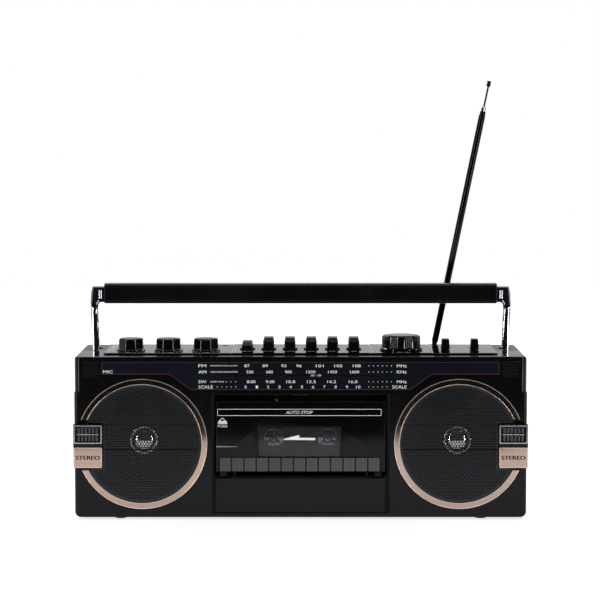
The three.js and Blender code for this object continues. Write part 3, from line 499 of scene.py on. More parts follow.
def add_cells(bm, centre, reach, block_low, block_high):
    """Hexagonal cells with a round hole in each, except where the side block stands."""
    hexagon = HOLE_PITCH / math.sqrt(3)
    outer = cell_outline(lambda k: hexagon if k % 2 else HOLE_PITCH / 2)
    inner = cell_outline(lambda k: HOLE_RADIUS)
    margin = hexagon + GRILLE_CLEARANCE
    verts, faces, seen = [], [], {}

    def corner(x, z, y):
        key = (round(x * 2e6), round(z * 2e6), round(y * 2e6))
        if key not in seen:
            seen[key] = len(verts)
            verts.append((centre.x + x, centre.y + y, centre.z + z))
        return seen[key]

    for x, z in hole_centres(reach):
        beside = block_low.x - margin < centre.x + x < block_high.x + margin
        level = block_low.z - margin < centre.z + z < block_high.z + margin
        if beside and level:
            continue
        for k in range(CELL_CORNERS):
            a, b = outer[k], outer[(k + 1) % CELL_CORNERS]
            c, d = inner[k], inner[(k + 1) % CELL_CORNERS]
            faces.append([corner(x + p[0], z + p[1], 0) for p in (a, b, d, c)])
            wall = ((c, 0), (d, 0), (d, SHEET), (c, SHEET))
            faces.append([corner(x + p[0], z + p[1], y) for p, y in wall])
    mesh = bpy.data.meshes.new("perforated")
    mesh.from_pydata(verts, [], faces)
    bm.from_mesh(mesh)
    bpy.data.meshes.remove(mesh)


def perforated_sheet(name, side):
    """The speaker's grille: a perforated sheet with a solid edge round it and beside the block."""
    node = "speaker_grille_" + name
    radius, centre = round_node(node, side)
    block_low, block_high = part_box("tweeter_block_" + name)
    front, back = centre.y - GRILLE_LIP, centre.y + SHEET
    bm = bmesh.new()
    add_cells(bm, centre, radius - GRILLE_RIM, block_low, block_high)

    rim_low = radius - 2.1 * GRILLE_RIM
    rim = [(rim_low, -GRILLE_LIP), (radius, -GRILLE_LIP), (radius, SHEET), (rim_low, SHEET)]
    rim.append(rim[0])
    add_turned(bm, rim, centre, "Y", 120, None, open_span(centre, radius, side, block_low, block_high))

    edge = (block_low.x if side > 0 else block_high.x) - side * GRILLE_CLEARANCE
    inward = edge - side * STRIP_WIDTH
    strip_low, strip_high = block_low.z - GRILLE_CLEARANCE, block_high.z + GRILLE_CLEARANCE
    x0, x1 = sorted((edge, inward))
    add_box(bm, (x0, front, strip_low), (x1, back, strip_high))
    for z0, z1 in ((strip_low - STRIP_HEIGHT, strip_low), (strip_high, strip_high + STRIP_HEIGHT)):
        farthest = max(abs(z0 - centre.z), abs(z1 - centre.z))
        chord = math.sqrt(radius ** 2 - farthest ** 2) - 0.4 * MM
        x0, x1 = sorted((inward, centre.x + side * chord))
        add_box(bm, (x0, front, z0), (x1, back, z1))
    piece(f"perforated_grille_{name}", bm, "case", ["grille"], [node], 60)


def open_span(centre, radius, side, block_low, block_high):
    """The angles between which a circle about the speaker's centre runs clear of the side block."""
    up = math.asin((block_high.z + GRILLE_CLEARANCE - centre.z) / radius)
    down = math.asin((block_low.z - GRILLE_CLEARANCE - centre.z) / radius)
    if side > 0:
        return up, down + 2 * math.pi
    return -math.pi - down, math.pi - up


def grille_creases(name, side):
    """Painted shade of two shallow pressed creases that run across the grille, level with the side block's
    two halves: thin dull black strips.
    """
    low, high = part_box("speaker_grille_" + name)
    radius = (high.z - low.z) / 2
    centre = middle("woofer_cone_" + name)
    block_low, block_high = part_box("tweeter_block_" + name)
    inward = (block_low.x if side > 0 else block_high.x) - side * 0.6 * MM
    half_height, proud, deep = 0.5 * MM, 0.06 * MM, 0.5 * MM
    bm = bmesh.new()
    for z in (block_high.z - 0.9 * MM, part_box("badge_plate_" + name)[1].z - 2.2 * MM):
        reach = math.sqrt((radius - GRILLE_RIM) ** 2 - (z - centre.z) ** 2)
        x0, x1 = sorted((centre.x - side * reach, inward))
        add_box(bm, (x0, low.y - proud, z - half_height), (x1, low.y + deep, z + half_height))
    piece(f"grille_creases_{name}", bm, "case", ["dark"])


def grille_gasket(name):
    """A dark felt ring between the grille and the case's front wall."""
    low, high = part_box("speaker_grille_" + name)
    radius = (high.z - low.z) / 2
    centre = middle("woofer_cone_" + name)
    front, back = high.y + 0.05 * MM, high.y + 0.25 * MM
    outer, inner = radius - 0.5 * MM, radius - 8 * MM
    profile = [(inner, front), (outer, front), (outer, back), (inner, back), (inner, front)]
    place = (centre.x, 0, centre.z)
    turned_piece(f"grille_gasket_{name}", profile, place, "Y", "case", ["dark"])


def trim_ring(name, side):
    """The copper ring: a brushed band between two polished raised edges, cut level beside the block."""
    node = "trim_ring_" + name
    outer, centre = round_node(node, side)
    low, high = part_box(node)
    centre.y = 0
    inner = outer - RING_BAND
    front, back = low.y, high.y
    edge, step, slope = 0.4 * MM, 0.35 * MM, 0.15 * MM
    profile = [
        (inner, back), (inner, front + step), (inner + slope, front), (inner + edge, front),
        (inner + edge + slope, front + step), (outer - edge - slope, front + step),
        (outer - edge, front), (outer - slope, front), (outer, front + step), (outer, back), (inner, back),
    ]
    brushed, polished = 0, 1
    bands = [polished] * 4 + [brushed] + [polished] * 5
    bm = bmesh.new()
    add_turned(bm, profile, centre, "Y", 180, bands)
    bmesh.ops.remove_doubles(bm, verts=bm.verts, dist=WELD)

    beside = abs(centre.x) + 30 * MM
    cut_high, cut_low = centre.z + RING_CUT_ABOVE, centre.z - RING_CUT_BELOW
    for height in (cut_high, cut_low):
        bmesh.ops.bisect_plane(bm, geom=bm.verts[:] + bm.edges[:] + bm.faces[:],
                               plane_co=(0, 0, height), plane_no=(0, 0, 1))
    gone = [face for face in bm.faces
            if side * face.calc_center_median().x > beside
            and cut_low < face.calc_center_median().z < cut_high]
    bmesh.ops.delete(bm, geom=gone, context="FACES")
    open_edges = [edge for edge in bm.edges if edge.is_boundary]
    for face in bmesh.ops.holes_fill(bm, edges=open_edges, sides=0)["faces"]:
        face.material_index = polished
    piece(f"copper_ring_{name}", bm, "case", ["copper", "copper_edge"], [node],
          TURNED_SMOOTH_ANGLE)


def speaker_cone(name):
    """The paper cone with its rolled surround."""
    node = "woofer_cone_" + name
    low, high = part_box(node)
    centre = middle(node)
    rim = half_width(node)
    neck = half_width("dust_cap_" + name) - 2 * MM
    thick, roll = 0.6 * MM, 4.5 * MM
    depth = high.y - thick
    rim_back, rim_front, roll_foot = low.y + 1.4 * MM, low.y + 0.8 * MM, low.y + 0.9 * MM
    roll_reach, roll_rise, roll_steps = roll * 0.9, 0.88 * MM, 8
    profile = [(rim, rim_back), (rim, rim_front)]
    for i in range(roll_steps + 1):
        turn = math.pi * i / roll_steps
        profile.append((rim - roll + roll_reach * math.cos(turn), roll_foot - roll_rise * math.sin(turn)))
    profile += [(neck, depth), (neck, depth + thick), (rim - 2 * roll, low.y + 2.2 * MM), (rim, rim_back)]
    paper, surround = 0, 1
    bands = [surround] * (roll_steps + 2) + [paper] * 4
    turned_piece(f"speaker_cone_{name}", profile, (centre.x, 0, centre.z), "Y", "case",
                 ["cone", "surround"], [node], bands)


def dust_cap(name):
    """The chromed cap: a flat dome inside a rolled rim."""
    node = "dust_cap_" + name
    low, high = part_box(node)
    centre = middle("woofer_cone_" + name)
    cap = half_width(node)
    rim_roll, rim_steps, dome_steps = 0.75 * MM, 8, 12
    base = high.y - 0.4 * (high.y - low.y)
    profile = [(0, high.y), (cap, high.y), (cap, base)]
    for i in range(1, rim_steps):
        turn = math.pi * i / rim_steps
        profile.append((cap - rim_roll + rim_roll * math.cos(turn), base - rim_roll * math.sin(turn)))
    crown = cap - 2 * rim_roll
    for i in range(dome_steps + 1):
        turn = math.pi / 2 * i / dome_steps
        radius = crown * math.cos(turn) if i < dome_steps else 0
        profile.append((radius, base - (base - low.y) * math.sin(turn)))
    turned_piece(f"chrome_cap_{name}", profile, (centre.x, 0, centre.z), "Y", "case",
                 ["cap_chrome"], [node])


def woofer(name):
    speaker_cone(name)
    dust_cap(name)
    refined("woofer_basket_" + name, "steel", 0)


# ---------- side blocks ----------
TWEETER_BARS = 6
TWEETER_BAND = 0.9 * MM


def tweeter_frame(name, front, low, high, bars_low, bars_high):
    """A bronze frame with one crossbar halfway up. low and high are its corners in x and z."""
    band = TWEETER_BAND
    centre_z = (low.z + high.z) / 2
    bar = 0.45 * MM
    bm = bmesh.new()
    for x0, x1, z0, z1 in (
        (low.x, high.x, high.z - band, high.z),
        (low.x, high.x, low.z, low.z + band),
        (low.x, low.x + band, low.z + band, high.z - band),
        (high.x - band, high.x, low.z + band, high.z - band),
    ):
        add_box(bm, (x0, front - 0.25 * MM, z0), (x1, front + 1.2 * MM, z1))
    add_box(bm, (bars_low, front + 0.1 * MM, centre_z - bar), (bars_high, front + 1.9 * MM, centre_z + bar))
    rounded_edges(piece(f"tweeter_frame_{name}", bm, "case", ["bronze_edge"]), 0.12 * MM)


def tweeter_bars(name, front, low, high, bars_low, bars_high):
    """Two rows of upright bars inside the frame."""
    centre_z = (low.z + high.z) / 2
    pitch = (bars_high - bars_low) / TWEETER_BARS
    half_gap, end_gap, middle_gap = 0.5 * MM, 0.8 * MM, 0.9 * MM
    bm = bmesh.new()
    for i in range(TWEETER_BARS):
        x0 = bars_low + i * pitch + half_gap
        x1 = x0 + pitch - 2 * half_gap
        for z0, z1 in ((centre_z + middle_gap, high.z - TWEETER_BAND - end_gap),
                       (low.z + TWEETER_BAND + end_gap, centre_z - middle_gap)):
            add_box(bm, (x0, front + 0.5 * MM, z0), (x1, front + 1.95 * MM, z1))
    rounded_edges(piece(f"tweeter_bars_{name}", bm, "case", ["tweeter"]), 0.4 * MM, 3)


def badge(name):
    """The brushed copper plate with a fine border and one generic word."""
    node = "badge_plate_" + name
    refined(node, "copper", 0.25 * MM)
    low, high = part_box(node)
    inset = 0.5 * MM
    x0, x1, z0, z1 = low.x + inset, high.x - inset, low.z + inset, high.z - inset
    bm = bmesh.new()
    add_line(bm, [(x0, z0), (x1, z0), (x1, z1), (x0, z1)], 0.35 * MM, on_front(low.y), True)
    piece(f"badge_border_{name}", bm, "case", ["copper_edge"])
    bm = bmesh.new()
    bolder = 0.22 * MM  # the word is printed three times, this far apart, to make its strokes thicker
    letter_height, word_width = 3.1 * MM, 18.5 * MM
    centre = middle(node)
    for step, shift in enumerate((-bolder, 0, bolder)):
        place = on_front(low.y - step * HAIR)
        add_text(bm, "STEREO", centre.x + shift, centre.z, letter_height, place, word_width, "CENTER")
    piece(f"badge_lettering_{name}", bm, "case", ["dark"])


def side_block(name):
    node = "tweeter_block_" + name
    refined(node, "case", 0.35 * MM)
    low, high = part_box(node)
    frame_low = Vector((low.x + 0.4 * MM, 0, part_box("badge_plate_" + name)[1].z + 2.9 * MM))
    frame_high = Vector((high.x - 0.4 * MM, 0, high.z - 0.9 * MM))
    margin = TWEETER_BAND + 1.6 * MM
    extent = (low.y, frame_low, frame_high, frame_low.x + margin, frame_high.x - margin)
    tweeter_frame(name, *extent)
    tweeter_bars(name, *extent)
    badge(name)


# ---------- dial ----------
SLOT_HALF_WIDTH = 62 * MM
SLOT_HALF_HEIGHT = 1.25 * MM
PANE_FRONT, PANE_BACK = 0.15 * MM, 0.9 * MM  # the clear pane's two faces, behind the window's front
DIAL_ARM_HEIGHT = 10.4 * MM  # height of the dial's two side arms
DIAL_KNEE, DIAL_FOOT = 102.5 * MM, 86 * MM
DIAL_INSET = 0.55 * MM
LABEL_X, SMALL_X, UNIT_X, MIC_X = -79.8 * MM, -70.4 * MM, 82.8 * MM, -154.2 * MM
LABEL_HEIGHT, NUMBER_HEIGHT, SMALL_HEIGHT = 2.3 * MM, 2.15 * MM, 1.15 * MM
DOT_RADIUS = 0.32 * MM

# Each row: name and its width, height above the pointer, long name and its width, unit and its width,
# numbers, their places from the middle, width of a digit, dots on the left and on the right. Millimetres.
DIAL_ROWS = (
    ("FM", 6.1, 7.7, "FREQUENCY MODULATION", 21, "MHz", 7.7,
     ("87", "89", "93", "96", "101", "105", "108"), (-41.9, -27.7, -13.2, -1.3, 14.9, 29.4, 43.8),
     2.05, 0, 6),
    ("AM", 6.1, 2.9, "AMPLITUDE MODULATION", 21, "KHz", 7.7,
     ("530", "680", "900", "1200", "1450", "1600"), (-39.6, -24.3, -9.6, 8.0, 24.9, 42.1), 1.75, 0, 6),
    ("SW", 6.1, -4.8, "SHORT WAVE", 10.5, "MHz", 7.7,
     ("8.00", "9.00", "10.8", "12.5", "14.2", "16.0"), (-38.6, -23.8, -7.7, 8.4, 24.2, 41.0), 1.7, 3, 6),
    ("SCALE", 11.2, -8.9, "", 0, "SCALE", 11.2,
     [str(i) for i in range(11)], [-43.0 + 8.8 * i for i in range(11)], 1.7, 5, 5),
)


def dial_window():
    """The dark window, with a clear slot cut along it for the pointer, and the plate behind."""
    low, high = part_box("dial_window")
    pointer = middle("dial_pointer")
    window = refined("dial_window", "dial", 0.25 * MM)
    slot_low = (-SLOT_HALF_WIDTH, low.y - 1 * MM, pointer.z - SLOT_HALF_HEIGHT)
    slot_high = (SLOT_HALF_WIDTH, high.y + 1 * MM, pointer.z + SLOT_HALF_HEIGHT)
    cut_box(window, slot_low, slot_high, 0.2 * MM)
    bm = bmesh.new()
    add_box(bm, (slot_low[0], low.y + PANE_FRONT, slot_low[2]),
            (slot_high[0], low.y + PANE_BACK, slot_high[2]))
    piece("dial_slot_pane", bm, "case", ["pane"])
    refined("dial_backplate", "dark", 0.2 * MM)


def dial_outlines():
    """A red line under the window's two arms and its foot, and a fine one round the rest."""
    low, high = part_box("dial_window")
    place = on_front(low.y)
    end, arm = high.x - DIAL_INSET, high.z - DIAL_ARM_HEIGHT + DIAL_INSET
    foot, top = low.z + DIAL_INSET, high.z - DIAL_INSET
    corner = 0.2 * MM
    right = [(DIAL_FOOT - corner, foot), (DIAL_KNEE - corner, arm), (end, arm)]
    left = [(-x, z) for x, z in reversed(right)]
    bm = bmesh.new()
    add_line(bm, left + right, 0.34 * MM, place)
    piece("dial_red_outline", bm, "case", ["red"])
    bm = bmesh.new()
    add_line(bm, [(-end, arm), (-end, top), (end, top), (end, arm)], 0.16 * MM, place)
    piece("dial_fine_outline", bm, "case", ["faint"])


def dial_lettering():
    low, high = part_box("dial_window")
    pointer = middle("dial_pointer")
    place = on_front(low.y)
    bm = bmesh.new()
    for (name, name_width, above, long_name, long_width, unit, unit_width,
         numbers, places, digit, left_dots, right_dots) in DIAL_ROWS:
        z = pointer.z + above * MM
        add_text(bm, name, LABEL_X, z, LABEL_HEIGHT, place, name_width * MM)
        if long_name:
            add_text(bm, long_name, SMALL_X, z, SMALL_HEIGHT, place, long_width * MM)
        add_text(bm, unit, UNIT_X, z, LABEL_HEIGHT, place, unit_width * MM, "RIGHT")
        for text, x in zip(numbers, places):
            add_text(bm, text, x * MM, z, NUMBER_HEIGHT, place, digit * len(text) * MM, "CENTER")
        for i in range(right_dots):
            add_dot(bm, (53.3 + 3.52 * i) * MM, z, DOT_RADIUS, place)
        for i in range(left_dots):
            add_dot(bm, (-50.7 - 3.6 * i) * MM, z, DOT_RADIUS, place)
    mic_z = high.z - DIAL_ARM_HEIGHT + 2.4 * MM
    add_text(bm, "MIC", MIC_X, mic_z, LABEL_HEIGHT, place, 7.6 * MM)
    piece("dial_lettering", bm, "case", ["white"])


def tuning_pointer():
    """A pale pointer with a red stripe down its middle, just behind the pane."""
    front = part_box("dial_window")[0].y + PANE_BACK + 0.1 * MM
    low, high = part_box("dial_pointer")
    third = (high.x - low.x) / 3
    gap = 0.12 * MM
    pale, red = 0, 1
    bm = bmesh.new()
    for i, material in enumerate((pale, red, pale)):
        x0 = low.x + i * third + (gap if i else 0)
        add_box(bm, (x0, front, low.z), (low.x + (i + 1) * third, high.y, high.z), material)
    pointer = piece("tuning_pointer", bm, "dial_pointer", ["pointer", "pointer_red"],
                    ["dial_pointer"])
    rounded_edges(pointer, 0.1 * MM)


def dial():
    dial_window()
    dial_outlines()
    dial_lettering()
    tuning_pointer()


def cut_box(obj, low, high, edge_width):
    """Cuts a box-shaped hole in a piece and rounds its edges anew."""
    bm = bmesh.new()
    add_box(bm, low, high)
    bmesh.ops.recalc_face_normals(bm, faces=bm.faces)
    mesh = bpy.data.meshes.new("cutter")
    bm.to_mesh(mesh)
    bm.free()
    cutter = bpy.data.objects.new("cutter", mesh)
    show(cutter)
    obj.modifiers.clear()
    cut = obj.modifiers.new("cut", "BOOLEAN")
    cut.operation = "DIFFERENCE"
    cut.solver = "EXACT"
    cut.object = cutter
    bpy.context.view_layer.update()
    evaluated = obj.evaluated_get(bpy.context.evaluated_depsgraph_get())
    result = bpy.data.meshes.new_from_object(evaluated)
    obj.modifiers.clear()
    obj.data = result
    obj.data.set_sharp_from_angle(angle=math.radians(SMOOTH_ANGLE))
    bpy.data.objects.remove(cutter)
    rounded_edges(obj, edge_width)


# ---------- cassette door ----------
def door_piece(name, bm, material):
    piece(name, bm, "cassette_door", [material])


def door_frame_print(place, high):
    """A thin frame round two words, along the top of the door."""
    left, right, base, top = -65.0 * MM, 63.0 * MM, high.z - 11.1 * MM, high.z - 6.1 * MM
    bm = bmesh.new()
    add_line(bm, [(left, base), (right, base), (right, top), (left, top)], 0.32 * MM, place, True)
    add_text(bm, "AUTO STOP", -1.1 * MM, (base + top) / 2, 2.4 * MM, place, 21 * MM, "CENTER", 0.2)
    door_piece("door_frame_print", bm, "white")


def door_push_print(place, high):
    """A small eject sign over the word for it."""
    icon_x, icon_z = -61.2 * MM, high.z - 13.6 * MM
    strokes = (
        (0.45, ((-3.4, -2.6), (0, 0.6), (3.4, -2.6))),
        (0.45, ((-3.4, -2.6), (-3.4, -4.0))),
        (0.45, ((3.4, -2.6), (3.4, -4.0))),
        (1.3, ((-2.0, -2.5), (2.0, -2.5))),
        (0.6, ((-3.0, -3.9), (3.0, -3.9))),
    )
    bm = bmesh.new()
    for width, points in strokes:
        add_line(bm, from_mm(points, icon_x, icon_z), width * MM, place)
    add_text(bm, "PUSH", icon_x, icon_z - 5.9 * MM, 1.6 * MM, place, 7.2 * MM, "CENTER")
    door_piece("door_push_print", bm, "white")


def door_ridge(place, pane_low):
    """A tapering raised line beside the window."""
    taper = ((-66.0, -0.55), (-49.7, -0.2), (-49.7, 0.2), (-66.0, 0.55))
    bm = bmesh.new()
    add_prism(bm, from_mm(taper, 0, pane_low.z + 8 * MM), -0.2 * MM, 0.35 * MM, place)
    door_piece("door_ridge", bm, "grey")


def window_prints(pane_low, pane_high):
    """The arrow and the two circles round the reels, on the door's window."""
    place = on_front(pane_low.y)
    arrow_z = (pane_low.z + pane_high.z) / 2 + 2.4 * MM
    arrow = ((-14.0, -0.1), (-1.1, 3.2), (-1.1, 1.0), (11.3, 0.9), (11.3, -0.9), (-12.6, -0.7))
    bm = bmesh.new()
    add_printed(bm, from_mm(arrow, 0, arrow_z), place)
    door_piece("door_arrow_print", bm, "white")
    bm = bmesh.new()
    for node in ("supply_spindle", "takeup_spindle"):
        circle = arc((middle(node).x, arrow_z), 7.8 * MM, 0, 360, 40)[:-1]
        add_line(bm, circle, 0.22 * MM, place, True)
    door_piece("door_reel_circles", bm, "faint")


def finger_bar(low, pane_low):
    """The row of ribbed segments along the door's lower edge."""
    segments, ribs = 13, 8
    half, centre_x, gap = 63.1 * MM, -0.8 * MM, 1.2 * MM
    pitch = 2 * half / segments
    rise, fall = 0.22, 0.94  # where a rib's front starts and where its slope ends, as shares of the rib
    crest_end = 0.72
    base = max(low.z + 0.9 * MM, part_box("lower_trim_panel")[1].z + 5.5 * MM)
    top = pane_low.z - 0.9 * MM
    back, valley, crest = low.y + 0.75 * MM, low.y - 0.05 * MM, low.y - 0.55 * MM
    bm = bmesh.new()
    for i in range(segments):
        x0 = centre_x - half + i * pitch + gap / 2
        x1 = x0 + pitch - gap
        rib = (x1 - x0) / ribs
        outline = [(x1, back), (x0, back)]
        for j in range(ribs):
            start = x0 + j * rib
            outline += [(start, valley), (start + rise * rib, crest), (start + crest_end * rib, crest),
                        (start + fall * rib, valley)]
        outline.append((x1, valley))
        add_prism(bm, outline, base, top, lambda a, b, c: (a, b, c))
    piece("door_finger_bar", bm, "cassette_door", ["finger_bar"], (), 20)


def cassette_door():
    door = refined("cassette_door", "gloss", 0.45 * MM)
    low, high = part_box("cassette_door")
    pane_low, pane_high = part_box("door_window")
    plate_foot = pane_low.z - 12.3 * MM
    darken(door, lambda spot: spot.z < plate_foot)
    refined("cassette_holder", "dark", 0.3 * MM)
    refined("door_window", "smoked", 0.2 * MM)
    place = on_front(low.y)
    door_frame_print(place, high)
    door_push_print(place, high)
    door_ridge(place, pane_low)
    window_prints(pane_low, pane_high)
    finger_bar(low, pane_low)


# ---------- top controls ----------
KNOBS = (("volume_knob", "VOLUME"), ("balance_knob", "BALANCE"), ("tone_knob", "TONE"))
KEYS = (("pause_key", "PAUSE"), ("stop_eject_key", "STOP/EJ."), ("fast_forward_key", "F.FWD"),
        ("rewind_key", "REW."), ("play_key", "PLAY"), ("record_key", "REC."))
SWITCHES = (("function_switch", ("TAPE", "RADIO")), ("band_switch", ("FM", "AM", "SW")))
KNOB_FACETS = 8
KNOB_LIFT = 0.3 * MM  # between the panel and a knob's skirt


def facet_turns(facets):
    """Angles round a knob, close together at the edges between its facets."""
    shares = (0, 0.15, 0.3, 0.38, 0.42, 0.46, 0.5, 0.54, 0.58, 0.62, 0.7, 0.85)
    return [2 * math.pi * (k + share) / facets for k in range(facets) for share in shares]


def add_shaft(bm, x, y, base, low):
    """The knob's own shaft, from inside its skirt down through the panel."""
    radius, top = 3 * MM, base + 0.1 * MM
    add_turned(bm, [(0, top), (radius, top), (radius, low), (0, low)], (x, y, 0), "Z", 32)


def fluted_knob(node):
    """A small knob: flat facets with narrow edges over a flared skirt, and a pointer line on top."""
    low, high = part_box(node)
    x, y = (low.x + high.x) / 2, (low.y + high.y) / 2
    radius = half_width(node)
    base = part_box("control_panel")[1].z + KNOB_LIFT
    top = high.z
    facet = 2 * math.pi / KNOB_FACETS
    flat = math.cos(facet / 2) + 0.018  # the facets' distance from the centre, as a share of the radius
    bm = bmesh.new()

    def ring(scale, z, faceted=True):
        verts = []
        for turn in facet_turns(KNOB_FACETS):
            off_middle = (turn + facet / 2) % facet - facet / 2
            r = scale * min(1, flat / math.cos(off_middle)) if faceted else scale
            bearing = turn + math.pi / 2
            verts.append(bm.verts.new((x + r * math.cos(bearing), y + r * math.sin(bearing), z)))
        return verts

    skirt = from_mm(((1.0, 0), (1.2, 0.3), (1.2, 0.8)), radius, base)
    body = from_mm(((0.5, 1.3), (0, 1.9)), radius, base)
    body += from_mm(((-0.25, -1.1), (-0.6, -0.5), (-1.3, -0.15), (-2.0, 0)), radius, top)
    add_layers(bm, [ring(r, z, False) for r, z in skirt] + [ring(r, z) for r, z in body])
    line = 0.45 * MM
    add_box(bm, (x - line, y - radius + 1.6 * MM, top - 0.6 * MM), (x + line, y - 1.5 * MM, top), 1)
    add_shaft(bm, x, y, base, low.z)
    piece(node + "_cap", bm, node, ["knob", "white"], [node], 24)


def tuning_knob():
    """The large knob: a knurled side over a flared skirt, with a slightly domed top."""
    node = "tuning_knob"
    low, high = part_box(node)
    x, y = (low.x + high.x) / 2, (low.y + high.y) / 2
    skirt = half_width(node)
    side = skirt - 1.7 * MM
    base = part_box("control_panel")[1].z + KNOB_LIFT
    top = high.z
    ridges, points_per_ridge, knurl = 60, 4, 0.22 * MM
    steps = ridges * points_per_ridge
    bm = bmesh.new()

    def ring(radius, z, depth=0.0):
        verts = []
        for i in range(steps):
            turn = 2 * math.pi * i / steps
            r = radius - (depth if i % points_per_ridge in (1, 2) else 0)
            verts.append(bm.verts.new((x + r * math.cos(turn), y + r * math.sin(turn), z)))
        return verts

    foot = from_mm(((-0.3, 0), (0, 0.4), (0, 1.0), (-1.4, 1.7)), skirt, base)
    shoulder = from_mm(((-0.6, -1.0), (-1.6, -0.4), (-3.4, -0.15)), side, top)
    crown = [(side * 0.5, top - 0.02 * MM), (side * 0.2, top)]
    knurled = [ring(side, base + 2 * MM, knurl), ring(side - 0.2 * MM, top - 1.8 * MM, knurl)]
    add_layers(bm, [ring(r, z) for r, z in foot] + knurled + [ring(r, z) for r, z in shoulder + crown])
    add_shaft(bm, x, y, base, low.z)
    piece("tuning_knob_cap", bm, node, ["knob"], [node], 32)


def controls():
    for node, _ in KNOBS:
        fluted_knob(node)
    tuning_knob()
    for node, _ in KEYS:
        refined(node, "control", 0.45 * MM, 3, 40)
    for node, _ in SWITCHES:
        refined(node, "control", 0.4 * MM, 3, 40)
    refined("control_panel", "panel", 0.25 * MM)
    panel_print()


def add_knob_scale(bm, place, node, word):
    """An arc with eleven marks round a knob, and its name in front."""
    knob = middle(node)
    start, end, marks = -60, 240, 11
    inner, outer = 12.6 * MM, 13.8 * MM
    add_line(bm, arc((knob.x, knob.y), inner, start, end), 0.3 * MM, place)
    for i in range(marks):
        turn = math.radians(start + (end - start) * i / (marks - 1))
        spoke = [(knob.x + r * math.cos(turn), knob.y + r * math.sin(turn)) for r in (inner, outer)]
        add_line(bm, spoke, 0.3 * MM, place)
    add_text(bm, word, knob.x, knob.y - 13.4 * MM, 1.5 * MM, place, None, "CENTER")


def panel_print():
    """White scales, lines and words on the top panel."""
    low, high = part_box("control_panel")
    place = on_top(high.z)
    word_height, small_height = 1.7 * MM, 1.5 * MM
    bm = bmesh.new()
    for x in (-151.8 * MM, -149.2 * MM):
        add_line(bm, [(x, low.y + 2 * MM), (x, high.y - 2 * MM)], 0.45 * MM, place)
    for x in (-54.15 * MM, -52.25 * MM, 56.25 * MM, 104.25 * MM):
        add_line(bm, [(x, low.y + 1 * MM), (x, high.y - 1 * MM)], 0.3 * MM, place)
    for node, word in KNOBS:
        add_knob_scale(bm, place, node, word)
    for node, word in KEYS:
        add_text(bm, word, middle(node).x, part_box(node)[0].y - 6 * MM, word_height, place, None, "CENTER")
    tuning = middle("tuning_knob")
    add_text(bm, "TUNING", tuning.x, tuning.y - 21.5 * MM, word_height, place, None, "CENTER")
    for node, words in SWITCHES:
        x, y = middle(node).x + 5.4 * MM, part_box(node)[0].y
        for i, word in enumerate(words):
            add_text(bm, word, x, y + (2 + 5 * i) * MM, small_height, place)
    piece("panel_lettering", bm, "case", ["white"])


# ---------- handle ----------
CHAMFER, WIDE_CHAMFER = 0.8 * MM, 1.35 * MM
NEAR_FACE, NEAR_WALL = 0.1 * MM, 0.7 * MM  # depths that count as a chamfer's outer and inner edge
CHAMFER_REACH = 1.3 * MM  # farther from the wall than this isn't the chamfer


def widen_chamfers(mesh, above):
    """Makes the arm's chamfered front and back edges wider above a height, to show as bright bands."""
    front, back = min(v.co.y for v in mesh.vertices), max(v.co.y for v in mesh.vertices)
    margin = CHAMFER * 0.98
    walls = [v.co.copy() for v in mesh.vertices if front + margin < v.co.y < back - margin]
    for vert in mesh.vertices:
        depth = min(vert.co.y - front, back - vert.co.y)
        if vert.co.z < above or depth > CHAMFER * 1.02:
            continue
        face, inward = (front, 1) if vert.co.y - front < back - vert.co.y else (back, -1)
        partner = min(walls, key=lambda wall: math.hypot(wall.x - vert.co.x, wall.z - vert.co.z))
        inset = Vector((vert.co.x - partner.x, 0, vert.co.z - partner.z))
        if inset.length > CHAMFER_REACH:
            continue
        share = 0.5 if NEAR_FACE <= depth <= NEAR_WALL else depth / CHAMFER
        vert.co.y = face + inward * WIDE_CHAMFER * share
        if inset.length > 0.01 * MM:
            scale = WIDE_CHAMFER * (1 - share) / (CHAMFER if depth < NEAR_FACE else inset.length)
            vert.co.x = partner.x + inset.x * scale
            vert.co.z = partner.z + inset.z * scale


def handle_stud(name, side):
    """The bright upright stud in the arm's recess, beside the grip."""
    grip_low, grip_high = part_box("handle_grip")
    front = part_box("handle_arm_" + name)[0].y
    outline = ((0, 3.6), (1.8, 3.6), (2.1, 3.9), (2.1, 10.6), (1.8, 10.9), (0, 10.9))
    place = (side * (grip_high.x + 3.6 * MM), front + 1.9 * MM, 0)
    turned_piece(f"handle_stud_{name}", from_mm(outline, 0, grip_low.z), place, "Z", "handle",
                 ["chrome"])


def handle_ridges():
    """Two raised lines along the grip's front and two along its back."""
    low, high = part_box("handle_grip")
    from_edge, proud, half, end = 3.2 * MM, 0.3 * MM, 0.35 * MM, 2 * MM
    bm = bmesh.new()
    for z in (low.z + from_edge, high.z - from_edge):
        for y in (low.y, high.y):
            add_box(bm, (low.x + end, y - proud, z - half), (high.x - end, y + proud, z + half))
    rounded_edges(piece("handle_ridges", bm, "handle", ["grip"]), 0.15 * MM)


def handle():
    refined("handle_grip", "grip", 0.5 * MM, 3, 40)
    handle_ridges()
    for name, side in SIDES:
        arm = refined("handle_arm_" + name, "chrome", 0, 2, 20)
        widen_chamfers(arm.data, middle("handle_pin_" + name).z - 0.5 * MM)
        handle_stud(name, side)


# ---------- aerial ----------
def joint(name):
    return next(entry for entry in frame["joints"] if entry["name"] == name)


